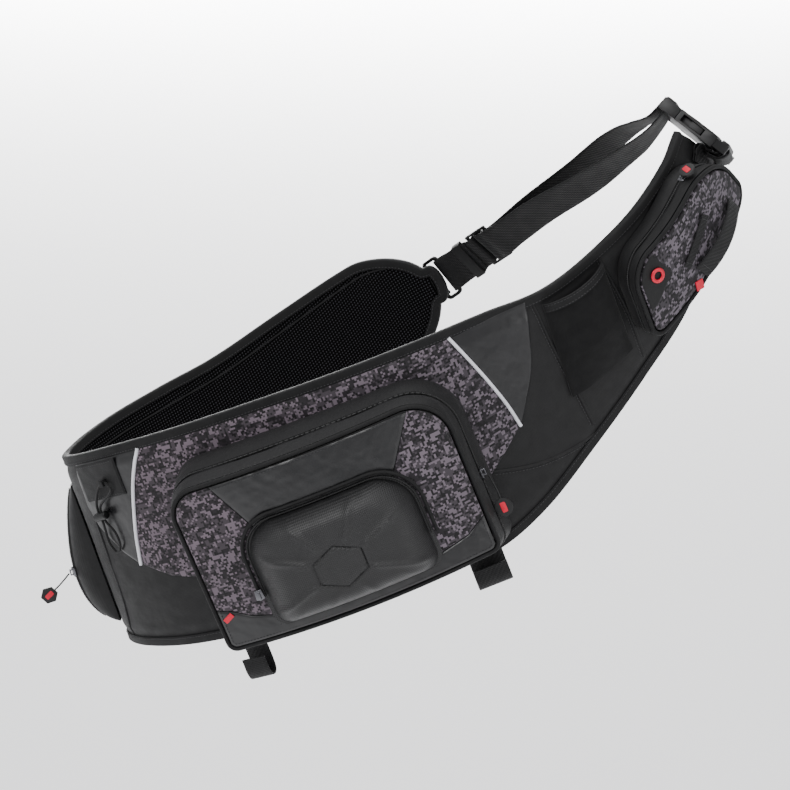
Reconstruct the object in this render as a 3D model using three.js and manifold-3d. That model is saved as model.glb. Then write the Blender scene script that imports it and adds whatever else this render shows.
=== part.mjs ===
// Fishing tackle sling bag, kept in the shape it has when it is worn.
// One padded band runs from the hip, across the chest side with its pockets, up to the shoulder.
// A wing runs round the other side of the hip, and a webbing strap closes the loop at the shoulder.
// Millimetres, +Z up. x runs along the bag from the hip, y away from its front, z across the bag.

import * as THREE from 'three';
import Module from 'manifold-3d';
import { mergeVertices } from 'three/addons/utils/BufferGeometryUtils.js';

const wasm = await Module();
wasm.setup();

// Driving dimensions of the worn loop
const LOOP_LENGTH = 703;
const LOOP_DEPTH = 246;
const SHOULDER_RISE = 158;
const BAND_HEIGHT = 222;
const LOOP_TILT = THREE.MathUtils.degToRad(22);

// Padded band, its edge tape and its cover fabrics
const PANEL = 8;
const PANEL_EDGE = 4;
const EDGE_TAPER = 12;
const TAPE = 1.6;
const TAPE_WIDTH = 8;
const COVER = 1.2;
const CLEAR = 0.5;
const NOSE_LENGTH = 60;
const WING_TIP = -0.985;

// Piping
const REFLECTOR_RADIUS = 1.7;
const PIPING_RADIUS = 2.2;

// Main pocket, measured from the hip line and from the middle of the hip panel
const MAIN_LEFT = 112;
const MAIN_WIDTH = 281;
const MAIN_LOW = -99;
const MAIN_HEIGHT = 169;
const MAIN_DEPTH = 74;
const MAIN_BOW = 24;
const MAIN_FLARE = 10;
const MAIN_CORNERS = [10, 10, 44, 30];
const FABRIC = 2;
const FACE_WALL = 2.5;

// Moulded pocket on the face of the main pocket
const MOULD_LEFT = 56;
const MOULD_WIDTH = 172;
const MOULD_LOW = 13;
const MOULD_HEIGHT = 107;
const MOULD_DEPTH = 32;
const MOULD_WALL = 2.4;
const MOULD_CORNERS = [14, 14, 40, 34];

// Shoulder pocket, measured along the band from the hip seam and across it from its middle
const SHOULDER_LEFT = 638;
const SHOULDER_LENGTH = 150;
const SHOULDER_LOW = -31;
const SHOULDER_HEIGHT = 84;
const SHOULDER_DEPTH = 36;
const SHOULDER_CORNERS = [16, 14, 52, 28];

// Stretch pouch, hip pocket
const POUCH_LEFT = 549;
const POUCH_LENGTH = 78;
const POUCH_HEIGHT = 100;
const POUCH_DEPTH = 14;
const HIP_POCKET_LENGTH = 118;
const HIP_POCKET_LOW = -82;
const HIP_POCKET_HEIGHT = 152;
const HIP_POCKET_DEPTH = 58;
const HIP_POCKET_LIFT = 2.2;

// Webbing and its hardware
const WEBBING = 38;
const WEBBING_THICK = 1.6;
const SLACK = 22;
const RING_LENGTH = 20;
const RING_WIDTH = 48;
const RING_WIRE = 1.8;
const SLIDER_AT = 58;
const SLIDER_WIDTH = 44;
const SLIDER_BAR = 3.5;
const SLIDER_WINDOW = 8;
const SLIDER_THICK = 3;
const BUCKLE_LENGTH = 81;
const BUCKLE_WIDTH = 50;
const BUCKLE_THICK = 12.6;
const BUCKLE_BAR = 2.2;
const GEAR_WEBBING = 25;

// Colours of the materials
const INK = 0x1d1d1f;
const SHEEN = 0x3f3f42;
const CAMOUFLAGE = 0x5c5960;
const REFLECTOR = 0xe4e4e6;
const ACCENT = 0xe8324f;
const MESH = 0x101012;
const PLASTIC = 0x28282a;

const TAU = Math.PI * 2;
const bag = new THREE.Group();
const P = (x, y, z) => new THREE.Vector3(x, y, z);

// The band's course. at runs from the wing's tip (-1) by the hip (0) to the shoulder (1).
// along, depth, rise and height are shares of the loop's sizes. tilt and lean are degrees.
const COURSE = [
  { at: -1.00, along: 0.595, rise: 0.665, depth: 0.410, height: 0.525, tilt: 5.0, lean: 0 },
  { at: -0.93, along: 0.530, rise: 0.605, depth: 0.455, height: 0.550, tilt: 7.5, lean: 0 },
  { at: -0.84, along: 0.460, rise: 0.470, depth: 0.475, height: 0.665, tilt: 4.5, lean: 0 },
  { at: -0.70, along: 0.355, rise: 0.290, depth: 0.480, height: 0.775, tilt: 3.5, lean: 0 },
  { at: -0.52, along: 0.240, rise: 0.135, depth: 0.450, height: 0.845, tilt: 2.0, lean: 0 },
  { at: -0.34, along: 0.145, rise: 0.055, depth: 0.380, height: 0.915, tilt: -0.5, lean: 0 },
  { at: -0.20, along: 0.065, rise: 0.025, depth: 0.255, height: 0.930, tilt: -2.0, lean: 0 },
  { at: -0.09, along: 0.015, rise: 0.010, depth: 0.105, height: 0.925, tilt: -3.5, lean: 0 },
  { at: 0.00, along: 0.000, rise: 0.005, depth: -0.035, height: 0.915, tilt: -4.0, lean: 0 },
  { at: 0.05, along: 0.020, rise: 0.010, depth: -0.140, height: 0.935, tilt: -4.0, lean: 0 },
  { at: 0.13, along: 0.085, rise: 0.015, depth: -0.310, height: 0.970, tilt: -2.5, lean: 0 },
  { at: 0.23, along: 0.190, rise: 0.005, depth: -0.435, height: 0.990, tilt: -1.5, lean: 0 },
  { at: 0.33, along: 0.305, rise: -0.010, depth: -0.495, height: 1.005, tilt: -0.5, lean: 0 },
  { at: 0.44, along: 0.435, rise: -0.020, depth: -0.520, height: 1.005, tilt: 0.0, lean: 0.5 },
  { at: 0.54, along: 0.545, rise: -0.025, depth: -0.505, height: 1.005, tilt: -1.5, lean: 1 },
  { at: 0.63, along: 0.640, rise: 0.035, depth: -0.460, height: 0.920, tilt: -4.0, lean: 3 },
  { at: 0.71, along: 0.725, rise: 0.135, depth: -0.400, height: 0.760, tilt: -3.5, lean: 6 },
  { at: 0.80, along: 0.820, rise: 0.315, depth: -0.315, height: 0.660, tilt: -1.5, lean: 12.5 },
  { at: 0.88, along: 0.905, rise: 0.530, depth: -0.230, height: 0.590, tilt: 4.0, lean: 21 },
  { at: 0.94, along: 0.965, rise: 0.770, depth: -0.150, height: 0.505, tilt: 12.5, lean: 31 },
  { at: 1.00, along: 1.000, rise: 1.015, depth: -0.065, height: 0.415, tilt: 26.5, lean: 47.5 },
];

// The strap's course from the ring (at 0) to the buckle (at 1), as shares of the loop's sizes.
// arch is the share of the slack by which the outer layer stands off. tilt and lean turn its width.
const STRAP_COURSE = [
  { at: 0.00, along: 0.603, depth: 0.436, rise: 0.680, arch: 0.00, tilt: 5, lean: 3 },
  { at: 0.09, along: 0.634, depth: 0.395, rise: 0.725, arch: 0.00, tilt: 6, lean: 12 },
  { at: 0.22, along: 0.681, depth: 0.325, rise: 0.790, arch: 0.00, tilt: 7, lean: 22 },
  { at: 0.45, along: 0.764, depth: 0.211, rise: 0.920, arch: 0.42, tilt: 7, lean: 31 },
  { at: 0.66, along: 0.844, depth: 0.115, rise: 1.010, arch: 0.88, tilt: 8, lean: 40 },
  { at: 0.80, along: 0.895, depth: 0.049, rise: 1.092, arch: 1.00, tilt: 8, lean: 49 },
  { at: 0.90, along: 0.933, depth: 0.012, rise: 1.152, arch: 0.84, tilt: 9, lean: 56 },
  { at: 1.00, along: 0.967, depth: 0.000, rise: 1.232, arch: 0.30, tilt: 9, lean: 64 },
];

// A smooth value of one column of a course, from cubic pieces through its rows.
function ease(course, column, at) {
  let k = 0;
  while (k < course.length - 2 && at > course[k + 1].at) k += 1;
  const slope = (i) => (course[i + 1][column] - course[i][column]) / (course[i + 1].at - course[i].at);
  const tangent = (i) => {
    if (i === 0) return slope(0);
    if (i === course.length - 1) return slope(i - 1);
    const before = course[i].at - course[i - 1].at;
    const after = course[i + 1].at - course[i].at;
    return (before * slope(i) + after * slope(i - 1)) / (before + after);
  };
  const span = course[k + 1].at - course[k].at;
  const t = (at - course[k].at) / span;
  if (t < 0) return course[k][column] + tangent(k) * t * span;
  if (t > 1) return course[k + 1][column] + tangent(k + 1) * (t - 1) * span;
  const u = t * t;
  const v = u * t;
  return (2 * v - 3 * u + 1) * course[k][column] + (v - 2 * u + t) * tangent(k) * span
    + (3 * u - 2 * v) * course[k + 1][column] + (v - u) * tangent(k + 1) * span;
}

function coursePoint(course, at) {
  return P(ease(course, 'along', at) * LOOP_LENGTH, ease(course, 'depth', at) * LOOP_DEPTH,
    ease(course, 'rise', at) * SHOULDER_RISE);
}

function leaning(tiltDegrees, leanDegrees) {
  const tilt = THREE.MathUtils.degToRad(tiltDegrees);
  const lean = THREE.MathUtils.degToRad(leanDegrees);
  return P(-Math.sin(tilt) * Math.cos(lean), -Math.sin(lean), Math.cos(tilt) * Math.cos(lean));
}

// The band's frame at a station: its middle, the way across it, its outward normal and its height.
function station(at) {
  const centre = coursePoint(COURSE, at);
  const across = leaning(ease(COURSE, 'tilt', at), ease(COURSE, 'lean', at));
  const step = 1e-3;
  const travel = coursePoint(COURSE, at + step).sub(coursePoint(COURSE, at - step));
  const outward = travel.cross(across).normalize();
  return { centre, across, outward, height: ease(COURSE, 'height', at) * BAND_HEIGHT };
}

// Length along the band's middle, so that pieces on it are placed in millimetres.
const REACH = (() => {
  const rows = [{ at: 0, reach: 0 }];
  const count = 600;
  let last = coursePoint(COURSE, 0);
  for (let i = 1; i <= count; i += 1) {
    const next = coursePoint(COURSE, i / count);
    rows.push({ at: i / count, reach: rows[i - 1].reach + next.distanceTo(last) });
    last = next;
  }
  return rows;
})();
const FRONT_LENGTH = REACH[REACH.length - 1].reach;
const WING_LENGTH = (() => {
  let length = 0;
  const count = 300;
  for (let i = 0; i < count; i += 1) {
    length += coursePoint(COURSE, -i / count).distanceTo(coursePoint(COURSE, -(i + 1) / count));
  }
  return length;
})();

function atReach(reach) {
  if (reach < 0) return reach / WING_LENGTH;
  const k = Math.min(REACH.findIndex((row) => row.reach >= reach), REACH.length - 1);
  if (k < 1) return k < 0 ? 1 : 0;
  const share = (reach - REACH[k - 1].reach) / (REACH[k].reach - REACH[k - 1].reach);
  return REACH[k - 1].at + share * (REACH[k].at - REACH[k - 1].at);
}

function onStation(frame, across, out) {
  return frame.centre.clone().addScaledVector(frame.across, across).addScaledVector(frame.outward, out);
}

function place(reach, across, out) {
  return onStation(station(atReach(reach)), across, out);
}

// How far the rounded nose at the wing's tip lets the wing's height grow.
function noseShare(at) {
  const inside = Math.min(1, (at - WING_TIP) * WING_LENGTH / NOSE_LENGTH);
  return Math.max(0.34, Math.sqrt(1 - (1 - inside) ** 2));
}

function halfHeight(at) {
  const half = ease(COURSE, 'height', at) * BAND_HEIGHT / 2;
  return at < 0 ? half * noseShare(at) : half;
}

// Height of the band's upper or lower edge above its middle, at a length along the band.
function edgeAt(reach, side) {
  return side * halfHeight(atReach(reach));
}

function spread(from, to, count) {
  return Array.from({ length: count + 1 }, (_, i) => from + (to - from) * i / count);
}

// A closed body from corners and triangles, turned so that its faces point out.
function body(corners, triangles) {
  let volume = 0;
  for (const [a, b, c] of triangles) {
    volume += corners[a].dot(corners[b].clone().cross(corners[c]));
  }
  const outward = volume > 0 ? triangles : triangles.map(([a, b, c]) => [a, c, b]);
  const geometry = new THREE.BufferGeometry();
  geometry.setAttribute('position', new THREE.Float32BufferAttribute(
    corners.flatMap((corner) => corner.toArray()), 3));
  geometry.setIndex(outward.flat());
  return geometry;
}

// A wall between two matching grids of points, grid[i][j].
function wall(front, back) {
  const rows = front.length;
  const columns = front[0].length;
  const corners = [...front.flat(), ...back.flat()];
  const f = (i, j) => i * columns + j;
  const b = (i, j) => rows * columns + i * columns + j;
  const triangles = [];
  const quad = (a, c, d, e) => triangles.push([a, c, d], [a, d, e]);
  for (let i = 0; i < rows - 1; i += 1) {
    for (let j = 0; j < columns - 1; j += 1) {
      quad(f(i, j), f(i, j + 1), f(i + 1, j + 1), f(i + 1, j));
      quad(b(i, j), b(i + 1, j), b(i + 1, j + 1), b(i, j + 1));
    }
    quad(f(i, 0), f(i + 1, 0), b(i + 1, 0), b(i, 0));
    quad(f(i + 1, columns - 1), f(i, columns - 1), b(i, columns - 1), b(i + 1, columns - 1));
  }
  for (let j = 0; j < columns - 1; j += 1) {
    quad(f(0, j + 1), f(0, j), b(0, j), b(0, j + 1));
    quad(f(rows - 1, j), f(rows - 1, j + 1), b(rows - 1, j + 1), b(rows - 1, j));
  }
  return body(corners, triangles);
}

// A loft through sections with the same count of corners. caps lists the end's triangles.
function loft(sections, { closed = false, caps = null } = {}) {
  const count = sections[0].length;
  const corners = sections.flat();
  const triangles = [];
  const spans = closed ? sections.length : sections.length - 1;
  for (let i = 0; i < spans; i += 1) {
    const here = i * count;
    const next = ((i + 1) % sections.length) * count;
    for (let k = 0; k < count; k += 1) {
      const l = (k + 1) % count;
      triangles.push([here + k, here + l, next + l], [here + k, next + l, next + k]);
    }
  }
  if (!closed) {
    const fan = caps ?? Array.from({ length: count - 2 }, (_, k) => [0, k + 1, k + 2]);
    const end = (sections.length - 1) * count;
    for (const [a, b, c] of fan) {
      triangles.push([a, c, b], [end + a, end + b, end + c]);
    }
  }
  return body(corners, triangles);
}

// A plate between a low and a high line over columns, with faces at two depths.
function columnPlate(columns, low, high, front, back, rows = 1) {
  const grid = (face) => columns.map((x) => spread(low(x), high(x), rows).map((z) => face(x, z)));
  return wall(grid(front), grid(back));
}

// The outline of a box with round corners, from the low left one round by the low right one.
function roundedOutline({ left, low, width, height, radii }, inset, cornerSteps, sideSteps) {
  const right = left + width;
  const high = low + height;
  const marks = [[left, low, 1, 1], [right, low, -1, 1], [right, high, -1, -1], [left, high, 1, -1]];
  const arcs = marks.map(([x, z, sx, sz], k) => {
    const radius = Math.max(radii[k] - inset, 0.8);
    const cx = x + sx * (radius + inset);
    const cz = z + sz * (radius + inset);
    return spread(0, 1, cornerSteps).map((share) => {
      const angle = Math.PI + (k + share) * Math.PI / 2;
      return [cx + radius * Math.cos(angle), cz + radius * Math.sin(angle)];
    });
  });
  return arcs.flatMap((arc, k) => {
    const [x0, z0] = arc[arc.length - 1];
    const [x1, z1] = arcs[(k + 1) % 4][0];
    const side = spread(0, 1, sideSteps).slice(1, -1).map((t) => [x0 + (x1 - x0) * t, z0 + (z1 - z0) * t]);
    return [...arc, ...side];
  });
}

// Low or high line of such an outline at x.
function outlineLine({ left, low, width, height, radii }, inset, side) {
  const [lowLeft, lowRight, highRight, highLeft] = radii;
  const nearLeft = side > 0 ? highLeft : lowLeft;
  const nearRight = side > 0 ? highRight : lowRight;
  const edge = side > 0 ? low + height - inset : low + inset;
  return (x) => {
    const drop = (distance, radius) => {
      const r = Math.max(radius - inset, 0.8);
      const short = Math.max(0, r - Math.max(0, distance));
      return r - Math.sqrt(r * r - short * short);
    };
    const dropped = Math.max(drop(x - left - inset, nearLeft), drop(left + width - inset - x, nearRight));
    return edge - side * dropped;
  };
}

// A tube along open points, or round closed ones.
function tube(points, radius, sides, steps) {
  const path = new THREE.CatmullRomCurve3(points, false, 'centripetal');
  const section = new THREE.Shape(spread(0, 1, sides).slice(0, -1).map((share) => (
    new THREE.Vector2(radius * Math.cos(share * TAU), radius * Math.sin(share * TAU)))));
  return new THREE.ExtrudeGeometry(section, { steps, bevelEnabled: false, extrudePath: path });
}

// A closed tube through points. up is a direction that the tube never runs along.
function hoop(points, radius, sides, up) {
  const count = points.length;
  return loft(points.map((point, i) => {
    const travel = points[(i + 1) % count].clone().sub(points[(i - 1 + count) % count]).normalize();
    const out = up.clone().addScaledVector(travel, -up.dot(travel)).normalize();
    const side = travel.clone().cross(out);
    return spread(0, TAU, sides).slice(0, -1).map((angle) => point.clone()
      .addScaledVector(out, radius * Math.cos(angle)).addScaledVector(side, radius * Math.sin(angle)));
  }), { closed: true });
}

// Webbing along a line of points. widths gives the way across it at each point.
function webbing(points, widths, width, thickness) {
  const sections = points.map((point, i) => {
    const before = points[Math.max(i - 1, 0)];
    const after = points[Math.min(i + 1, points.length - 1)];
    const travel = after.clone().sub(before).normalize();
    const across = widths[i].clone().addScaledVector(travel, -widths[i].dot(travel)).normalize();
    const normal = across.clone().cross(travel);
    return [[-1, -1], [1, -1], [1, 1], [-1, 1]].map(([s, t]) => point.clone()
      .addScaledVector(across, s * width / 2).addScaledVector(normal, t * thickness / 2));
  });
  return loft(sections);
}

// A flat sleeve of webbing: a rectangle with a slot, as long as length, lying along its local z.
function sleeve(width, height, gauge, length) {
  const shape = new THREE.Shape();
  const w = width / 2 + gauge;
  const h = height / 2 + gauge;
  shape.moveTo(-w, -h).lineTo(w, -h).lineTo(w, h).lineTo(-w, h).closePath();
  const slot = new THREE.Path();
  slot.moveTo(-width / 2, -height / 2).lineTo(-width / 2, height / 2).lineTo(width / 2, height / 2)
    .lineTo(width / 2, -height / 2).closePath();
  shape.holes.push(slot);
  const geometry = new THREE.ExtrudeGeometry(shape, { depth: length, bevelEnabled: false });
  return geometry.translate(0, 0, -length / 2);
}

// A flat ring or disc in its local xy plane.
function washer(outer, inner, height, sides) {
  const profile = [[inner, -height / 2], [outer, -height / 2], [outer, height / 2], [inner, height / 2],
    [inner, -height / 2]].map(([r, z]) => new THREE.Vector2(r, z));
  return new THREE.LatheGeometry(profile, sides).rotateX(Math.PI / 2);
}

function clean(geometry) {
  const bare = geometry.clone();
  bare.deleteAttribute('normal');
  bare.deleteAttribute('uv');
  return mergeVertices(bare, 1e-4);
}

function solidOf(geometry) {
  const bare = clean(geometry);
  return new wasm.Manifold(new wasm.Mesh({
    numProp: 3, vertProperties: Float32Array.from(bare.attributes.position.array),
    triVerts: Uint32Array.from(bare.index.array),
  }));
}

function geometryOf(solid) {
  const mesh = solid.getMesh();
  const geometry = new THREE.BufferGeometry();
  geometry.setAttribute('position', new THREE.BufferAttribute(Float32Array.from(mesh.vertProperties), 3));
  geometry.setIndex(Array.from(mesh.triVerts));
  return geometry;
}

function carve(stock, joined, cuts) {
  let solid = solidOf(stock);
  for (const piece of joined) solid = solid.add(solidOf(piece));
  for (const piece of cuts) solid = solid.subtract(solidOf(piece));
  return geometryOf(solid);
}

function block(x0, x1, y0, y1, z0, z1) {
  return new THREE.BoxGeometry(x1 - x0, y1 - y0, z1 - z0)
    .translate((x0 + x1) / 2, (y0 + y1) / 2, (z0 + z1) / 2);
}

// Finishes, one small function for all of them
const finishes = new Map();
function finish(name, color, roughness, metalness = 0) {
  if (!finishes.has(name)) {
    finishes.set(name, new THREE.MeshStandardMaterial({ name, color, roughness, metalness }));
  }
  return finishes.get(name);
}
const inkCloth = () => finish('ink_cloth', INK, 0.9);
const coated = () => finish('coated_fabric', SHEEN, 0.4);
const camouflage = () => finish('camouflage_fabric', CAMOUFLAGE, 0.7);
const reflective = () => finish('reflective_piping', REFLECTOR, 0.35);
const tapeCloth = () => finish('edge_tape', PLASTIC, 0.8);
const airMesh = () => finish('air_mesh', MESH, 1);
const webCloth = () => finish('webbing', INK, 0.75);
const acetal = () => finish('acetal', PLASTIC, 0.45);
const moulded = () => finish('moulded_shell', SHEEN, 0.6);
const accent = () => finish('accent_enamel', ACCENT, 0.4);
const cordCloth = () => finish('elastic_cord', INK, 0.8);

function add(name, geometry, material, matrix = null) {
  const mesh = new THREE.Mesh(clean(geometry), material);
  mesh.name = name;
  if (matrix) mesh.applyMatrix4(matrix);
  bag.add(mesh);
  return mesh;
}

function frameMatrix(origin, xAxis, yAxis, zAxis) {
  return new THREE.Matrix4().makeBasis(xAxis, yAxis, zAxis).setPosition(origin);
}

// A frame on the band: x along the band, y across it, z outward.
function bandMatrix(reach, across, out, turnDegrees = 0) {
  const frame = station(atReach(reach));
  const z = frame.outward;
  const y = frame.across.clone().applyAxisAngle(z, THREE.MathUtils.degToRad(turnDegrees));
  const x = y.clone().cross(z);
  return frameMatrix(onStation(frame, across, out), x, y, z);
}

// The padded band. Its core thins towards the edges, where the tape folds over it.
const FRONT_STATIONS = [...spread(0.001, 0.13, 8), ...spread(0.13, 0.7, 18).slice(1),
  ...spread(0.7, 1, 14).slice(1)];
// Millimetres from the wing's tip at which its rounded nose is drawn
const NOSE_STEPS = [3, 9.5, 18, 30, 44, NOSE_LENGTH];
const WING_STATIONS = [...NOSE_STEPS.map((step) => WING_TIP + step / WING_LENGTH),
  ...spread(WING_TIP + NOSE_LENGTH / WING_LENGTH, -0.34, 7).slice(1), ...spread(-0.34, -0.001, 10).slice(1)];

function coreSection(at, rows) {
  const frame = station(at);
  const fromTip = (at - WING_TIP) * WING_LENGTH;
  const rise = (halfHeight(at + 1e-3) - halfHeight(at - 1e-3)) / (2e-3 * WING_LENGTH);
  const slant = at < 0 ? Math.min(Math.hypot(1, rise), 3) : 1;
  const spare = at < 0 ? CLEAR : 0;
  const rim = halfHeight(at) - (TAPE + CLEAR + spare) * slant;
  const shelf = halfHeight(at) - (TAPE_WIDTH + CLEAR + spare) * slant;
  const full = Math.max(shelf - EDGE_TAPER, shelf / 3);
  const levels = [-rim, -shelf, ...spread(-full, full, rows), shelf, rim];
  const thin = at < 0 && fromTip < TAPE_WIDTH + CLEAR + 1.5;
  const gauge = (level) => (thin || Math.abs(level) > full + 1e-6 ? PANEL_EDGE / 2 : PANEL / 2);
  const outer = levels.map((level) => onStation(frame, level, gauge(level)));
  const inner = levels.map((level) => onStation(frame, level, -gauge(level)));
  return { outer, inner };
}

function core(stations, rows) {
  const sections = stations.map((at) => coreSection(at, rows));
  return wall(sections.map((section) => section.outer), sections.map((section) => section.inner));
}

// Edge tape: a U section over the rim, carried along a line of rim points.
function edgeTape(rimPoints) {
  const inside = PANEL_EDGE / 2 + CLEAR;
  const outside = inside + TAPE;
  const profile = [[0, -outside], [TAPE_WIDTH, -outside], [TAPE_WIDTH, -inside], [TAPE, -inside],
    [TAPE, inside], [TAPE_WIDTH, inside], [TAPE_WIDTH, outside], [0, outside]];
  const caps = THREE.ShapeUtils.triangulateShape(profile.map(([a, b]) => new THREE.Vector2(a, b)), []);
  const sections = rimPoints.map(({ point, inward, outward }) => profile.map(([depth, out]) => (
    point.clone().addScaledVector(inward, depth).addScaledVector(outward, out))));
  return loft(sections, { caps });
}

function rimPoint(at, side) {
  const frame = station(at);
  const point = onStation(frame, side * halfHeight(at), 0);
  return { point, inward: frame.across.clone().multiplyScalar(-side), outward: frame.outward };
}

// The tape round the wing follows its upper rim, the nose and its lower rim in one piece.
function wingRim() {
  const rims = [WING_TIP, ...WING_STATIONS];
  const upper = [...rims].reverse().map((at) => ({ at, side: 1 }));
  const lower = rims.map((at) => ({ at, side: -1 }));
  const raw = [...upper, ...lower].map(({ at, side }) => ({ ...rimPoint(at, side), at }));
  return raw.map((rim, i) => {
    const before = raw[Math.max(i - 1, 0)].point;
    const after = raw[Math.min(i + 1, raw.length - 1)].point;
    const travel = after.clone().sub(before).normalize();
    const inward = rim.outward.clone().cross(travel).normalize();
    if (inward.dot(rim.inward) < -1e-6) inward.negate();
    return { point: rim.point, inward, outward: rim.outward };
  });
}

add('sling_panel', core(FRONT_STATIONS, 1), inkCloth());
add('hip_wing', core(WING_STATIONS, 1), airMesh());
for (const [name, side] of [['binding_upper', 1], ['binding_lower', -1]]) {
  add(name, edgeTape(FRONT_STATIONS.map((at) => rimPoint(at, side))), tapeCloth());
}
add('binding_wing', edgeTape(wingRim()), tapeCloth());

// Fabric covers sewn on the front of the band, between a low and a high share of its height
const COVER_BACK = PANEL / 2 + CLEAR;
const COVER_FRONT = COVER_BACK + COVER;
const RIM_INSET = TAPE_WIDTH + EDGE_TAPER + 1;

// Stations of the band's own facets between two lengths, so that a cover lies parallel to it.
function stationsBetween(from, to) {
  const first = atReach(from);
  const last = atReach(to);
  return [first, ...FRONT_STATIONS.filter((at) => at > first + 0.004 && at < last - 0.004), last];
}

// A cover reaches from a low share of the band's height up to the edge tape, over the thin rim.
function cover(from, to, lowShare, lift = 0) {
  const stations = stationsBetween(from, to);
  const grid = (out) => stations.map((at, i) => {
    const frame = station(at);
    const limit = halfHeight(at) - RIM_INSET;
    const low = -limit + 2 * limit * lowShare(i / (stations.length - 1));
    const tapeEdge = halfHeight(at) - TAPE_WIDTH - 2 * CLEAR;
    return [onStation(frame, low, out + lift), onStation(frame, limit, out + lift),
      onStation(frame, tapeEdge, out + lift - (PANEL - PANEL_EDGE) / 2)];
  });
  return wall(grid(COVER_FRONT), grid(COVER_BACK));
}

const ramp = (x, x0, x1, y0, y1) => y0 + (y1 - y0) * THREE.MathUtils.smoothstep(x, x0, x1);
const CAMO_FROM = 106;
const CAMO_TO = 466;
const LINE_GAP = 4;
const lean = (t, y0, y1) => ramp(t, 0, 1, y0, y1);
add('hip_coated_panel', cover(30, CAMO_FROM - LINE_GAP, (t) => lean(t, 0.62, 0.3)), coated());
add('camo_body_panel', cover(CAMO_FROM, CAMO_TO, (t) => lean(Math.min(1, t * 6), 0.3, 0.16)), camouflage());
add('chest_coated_panel', cover(CAMO_TO + LINE_GAP, 530, (t) => lean(t, 0.1, 0.5), 0.4), coated());

// Reflective piping in the two seams beside the camouflage panel
function seamPiping(reach, lowShare) {
  const limit = edgeAt(reach, 1) - RIM_INSET;
  const line = spread(-limit + 2 * limit * lowShare, limit, 6);
  return tube(line.map((across) => place(reach, across, COVER_BACK + REFLECTOR_RADIUS)), REFLECTOR_RADIUS, 6,
    12);
}
add('reflective_piping_left', seamPiping(CAMO_FROM - LINE_GAP / 2, 0.3), reflective());
add('reflective_piping_right', seamPiping(CAMO_TO + LINE_GAP / 2, 0.3), reflective());

// Main pocket. Its face bows about a vertical line, and its side walls run back to the band.
const MAIN_FACE = { left: MAIN_LEFT, low: MAIN_LOW, width: MAIN_WIDTH, height: MAIN_HEIGHT,
  radii: MAIN_CORNERS };
const MAIN_ROOT = { left: MAIN_LEFT + 2, low: MAIN_LOW - 5, width: MAIN_WIDTH + MAIN_FLARE,
  height: MAIN_HEIGHT + 5 + MAIN_FLARE, radii: MAIN_CORNERS.map((radius) => radius * 1.2) };
const MAIN_MIDDLE = MAIN_LEFT + MAIN_WIDTH / 2;

// Depth of the band's outer side at a place of the level frame.
function bandDepth(x, z, out) {
  let near = -0.02;
  let far = 0.95;
  const probe = (at) => {
    const frame = station(at);
    const across = (z - frame.centre.z - frame.outward.z * out) / frame.across.z;
    return onStation(frame, across, out);
  };
  for (let i = 0; i < 40; i += 1) {
    const middle = (near + far) / 2;
    if (probe(middle).x < x) near = middle;
    else far = middle;
  }
  return probe((near + far) / 2).y;
}

const ROOT_OUT = COVER_FRONT + CLEAR + 0.3;
const MAIN_PLANE = bandDepth(MAIN_MIDDLE, 0, PANEL / 2) - MAIN_DEPTH;
const mainDepth = (x) => MAIN_PLANE + MAIN_BOW * ((x - MAIN_MIDDLE) / (MAIN_WIDTH / 2)) ** 2;
const GUSSET_END = PIPING_RADIUS * 2 + CLEAR;

// One strip of the side wall between two shares of its depth, as thick as its fabric.
function mainStrip(from, to, gauge) {
  const ring = (inset) => {
    const root = roundedOutline(MAIN_ROOT, inset, 4, 4);
    const face = roundedOutline(MAIN_FACE, inset, 4, 4);
    return root.map(([rx, rz], k) => {
      const [fx, fz] = face[k];
      const start = P(rx, bandDepth(rx, rz, ROOT_OUT), rz);
      const end = P(fx, mainDepth(fx) + GUSSET_END, fz);
      return [start.clone().lerp(end, from), start.clone().lerp(end, to)];
    });
  };
  const outer = ring((FABRIC - gauge) / 2);
  const inner = ring((FABRIC + gauge) / 2);
  return loft(outer.map(([a, b], k) => [a, b, inner[k][1], inner[k][0]]), { closed: true });
}

const SEAM = 0.008;
const ZIP_FROM = 0.52;
const ZIP_TO = 0.64;
add('main_pocket_gusset', mainStrip(0, ZIP_FROM - SEAM, FABRIC), inkCloth());
add('main_pocket_zip_tape', mainStrip(ZIP_FROM, ZIP_TO, FABRIC / 2), webCloth());
add('main_pocket_front_strip', mainStrip(ZIP_TO + SEAM, 1, FABRIC), inkCloth());

const mainLow = outlineLine(MAIN_FACE, PIPING_RADIUS * 2 + 0.7, -1);
const mainHigh = outlineLine(MAIN_FACE, PIPING_RADIUS * 2 + 0.7, 1);
const FACE_EDGE = PIPING_RADIUS * 2 + 0.8;
const FACE_COLUMNS = [...spread(MAIN_LEFT + FACE_EDGE, MAIN_LEFT + 28, 5),
  ...spread(MAIN_LEFT + 28, MAIN_LEFT + MAIN_WIDTH - 40, 12).slice(1),
  ...spread(MAIN_LEFT + MAIN_WIDTH - 40, MAIN_LEFT + MAIN_WIDTH - FACE_EDGE, 6).slice(1)];
add('main_pocket_face', columnPlate(FACE_COLUMNS, mainLow, mainHigh, (x, z) => P(x, mainDepth(x), z),
  (x, z) => P(x, mainDepth(x) + FACE_WALL, z)), coated());
add('main_pocket_piping', hoop(roundedOutline(MAIN_FACE, PIPING_RADIUS - 0.2, 5, 4)
  .map(([x, z]) => P(x, mainDepth(x) + PIPING_RADIUS, z)), PIPING_RADIUS, 5, P(0, 1, 0)), tapeCloth());

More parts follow.
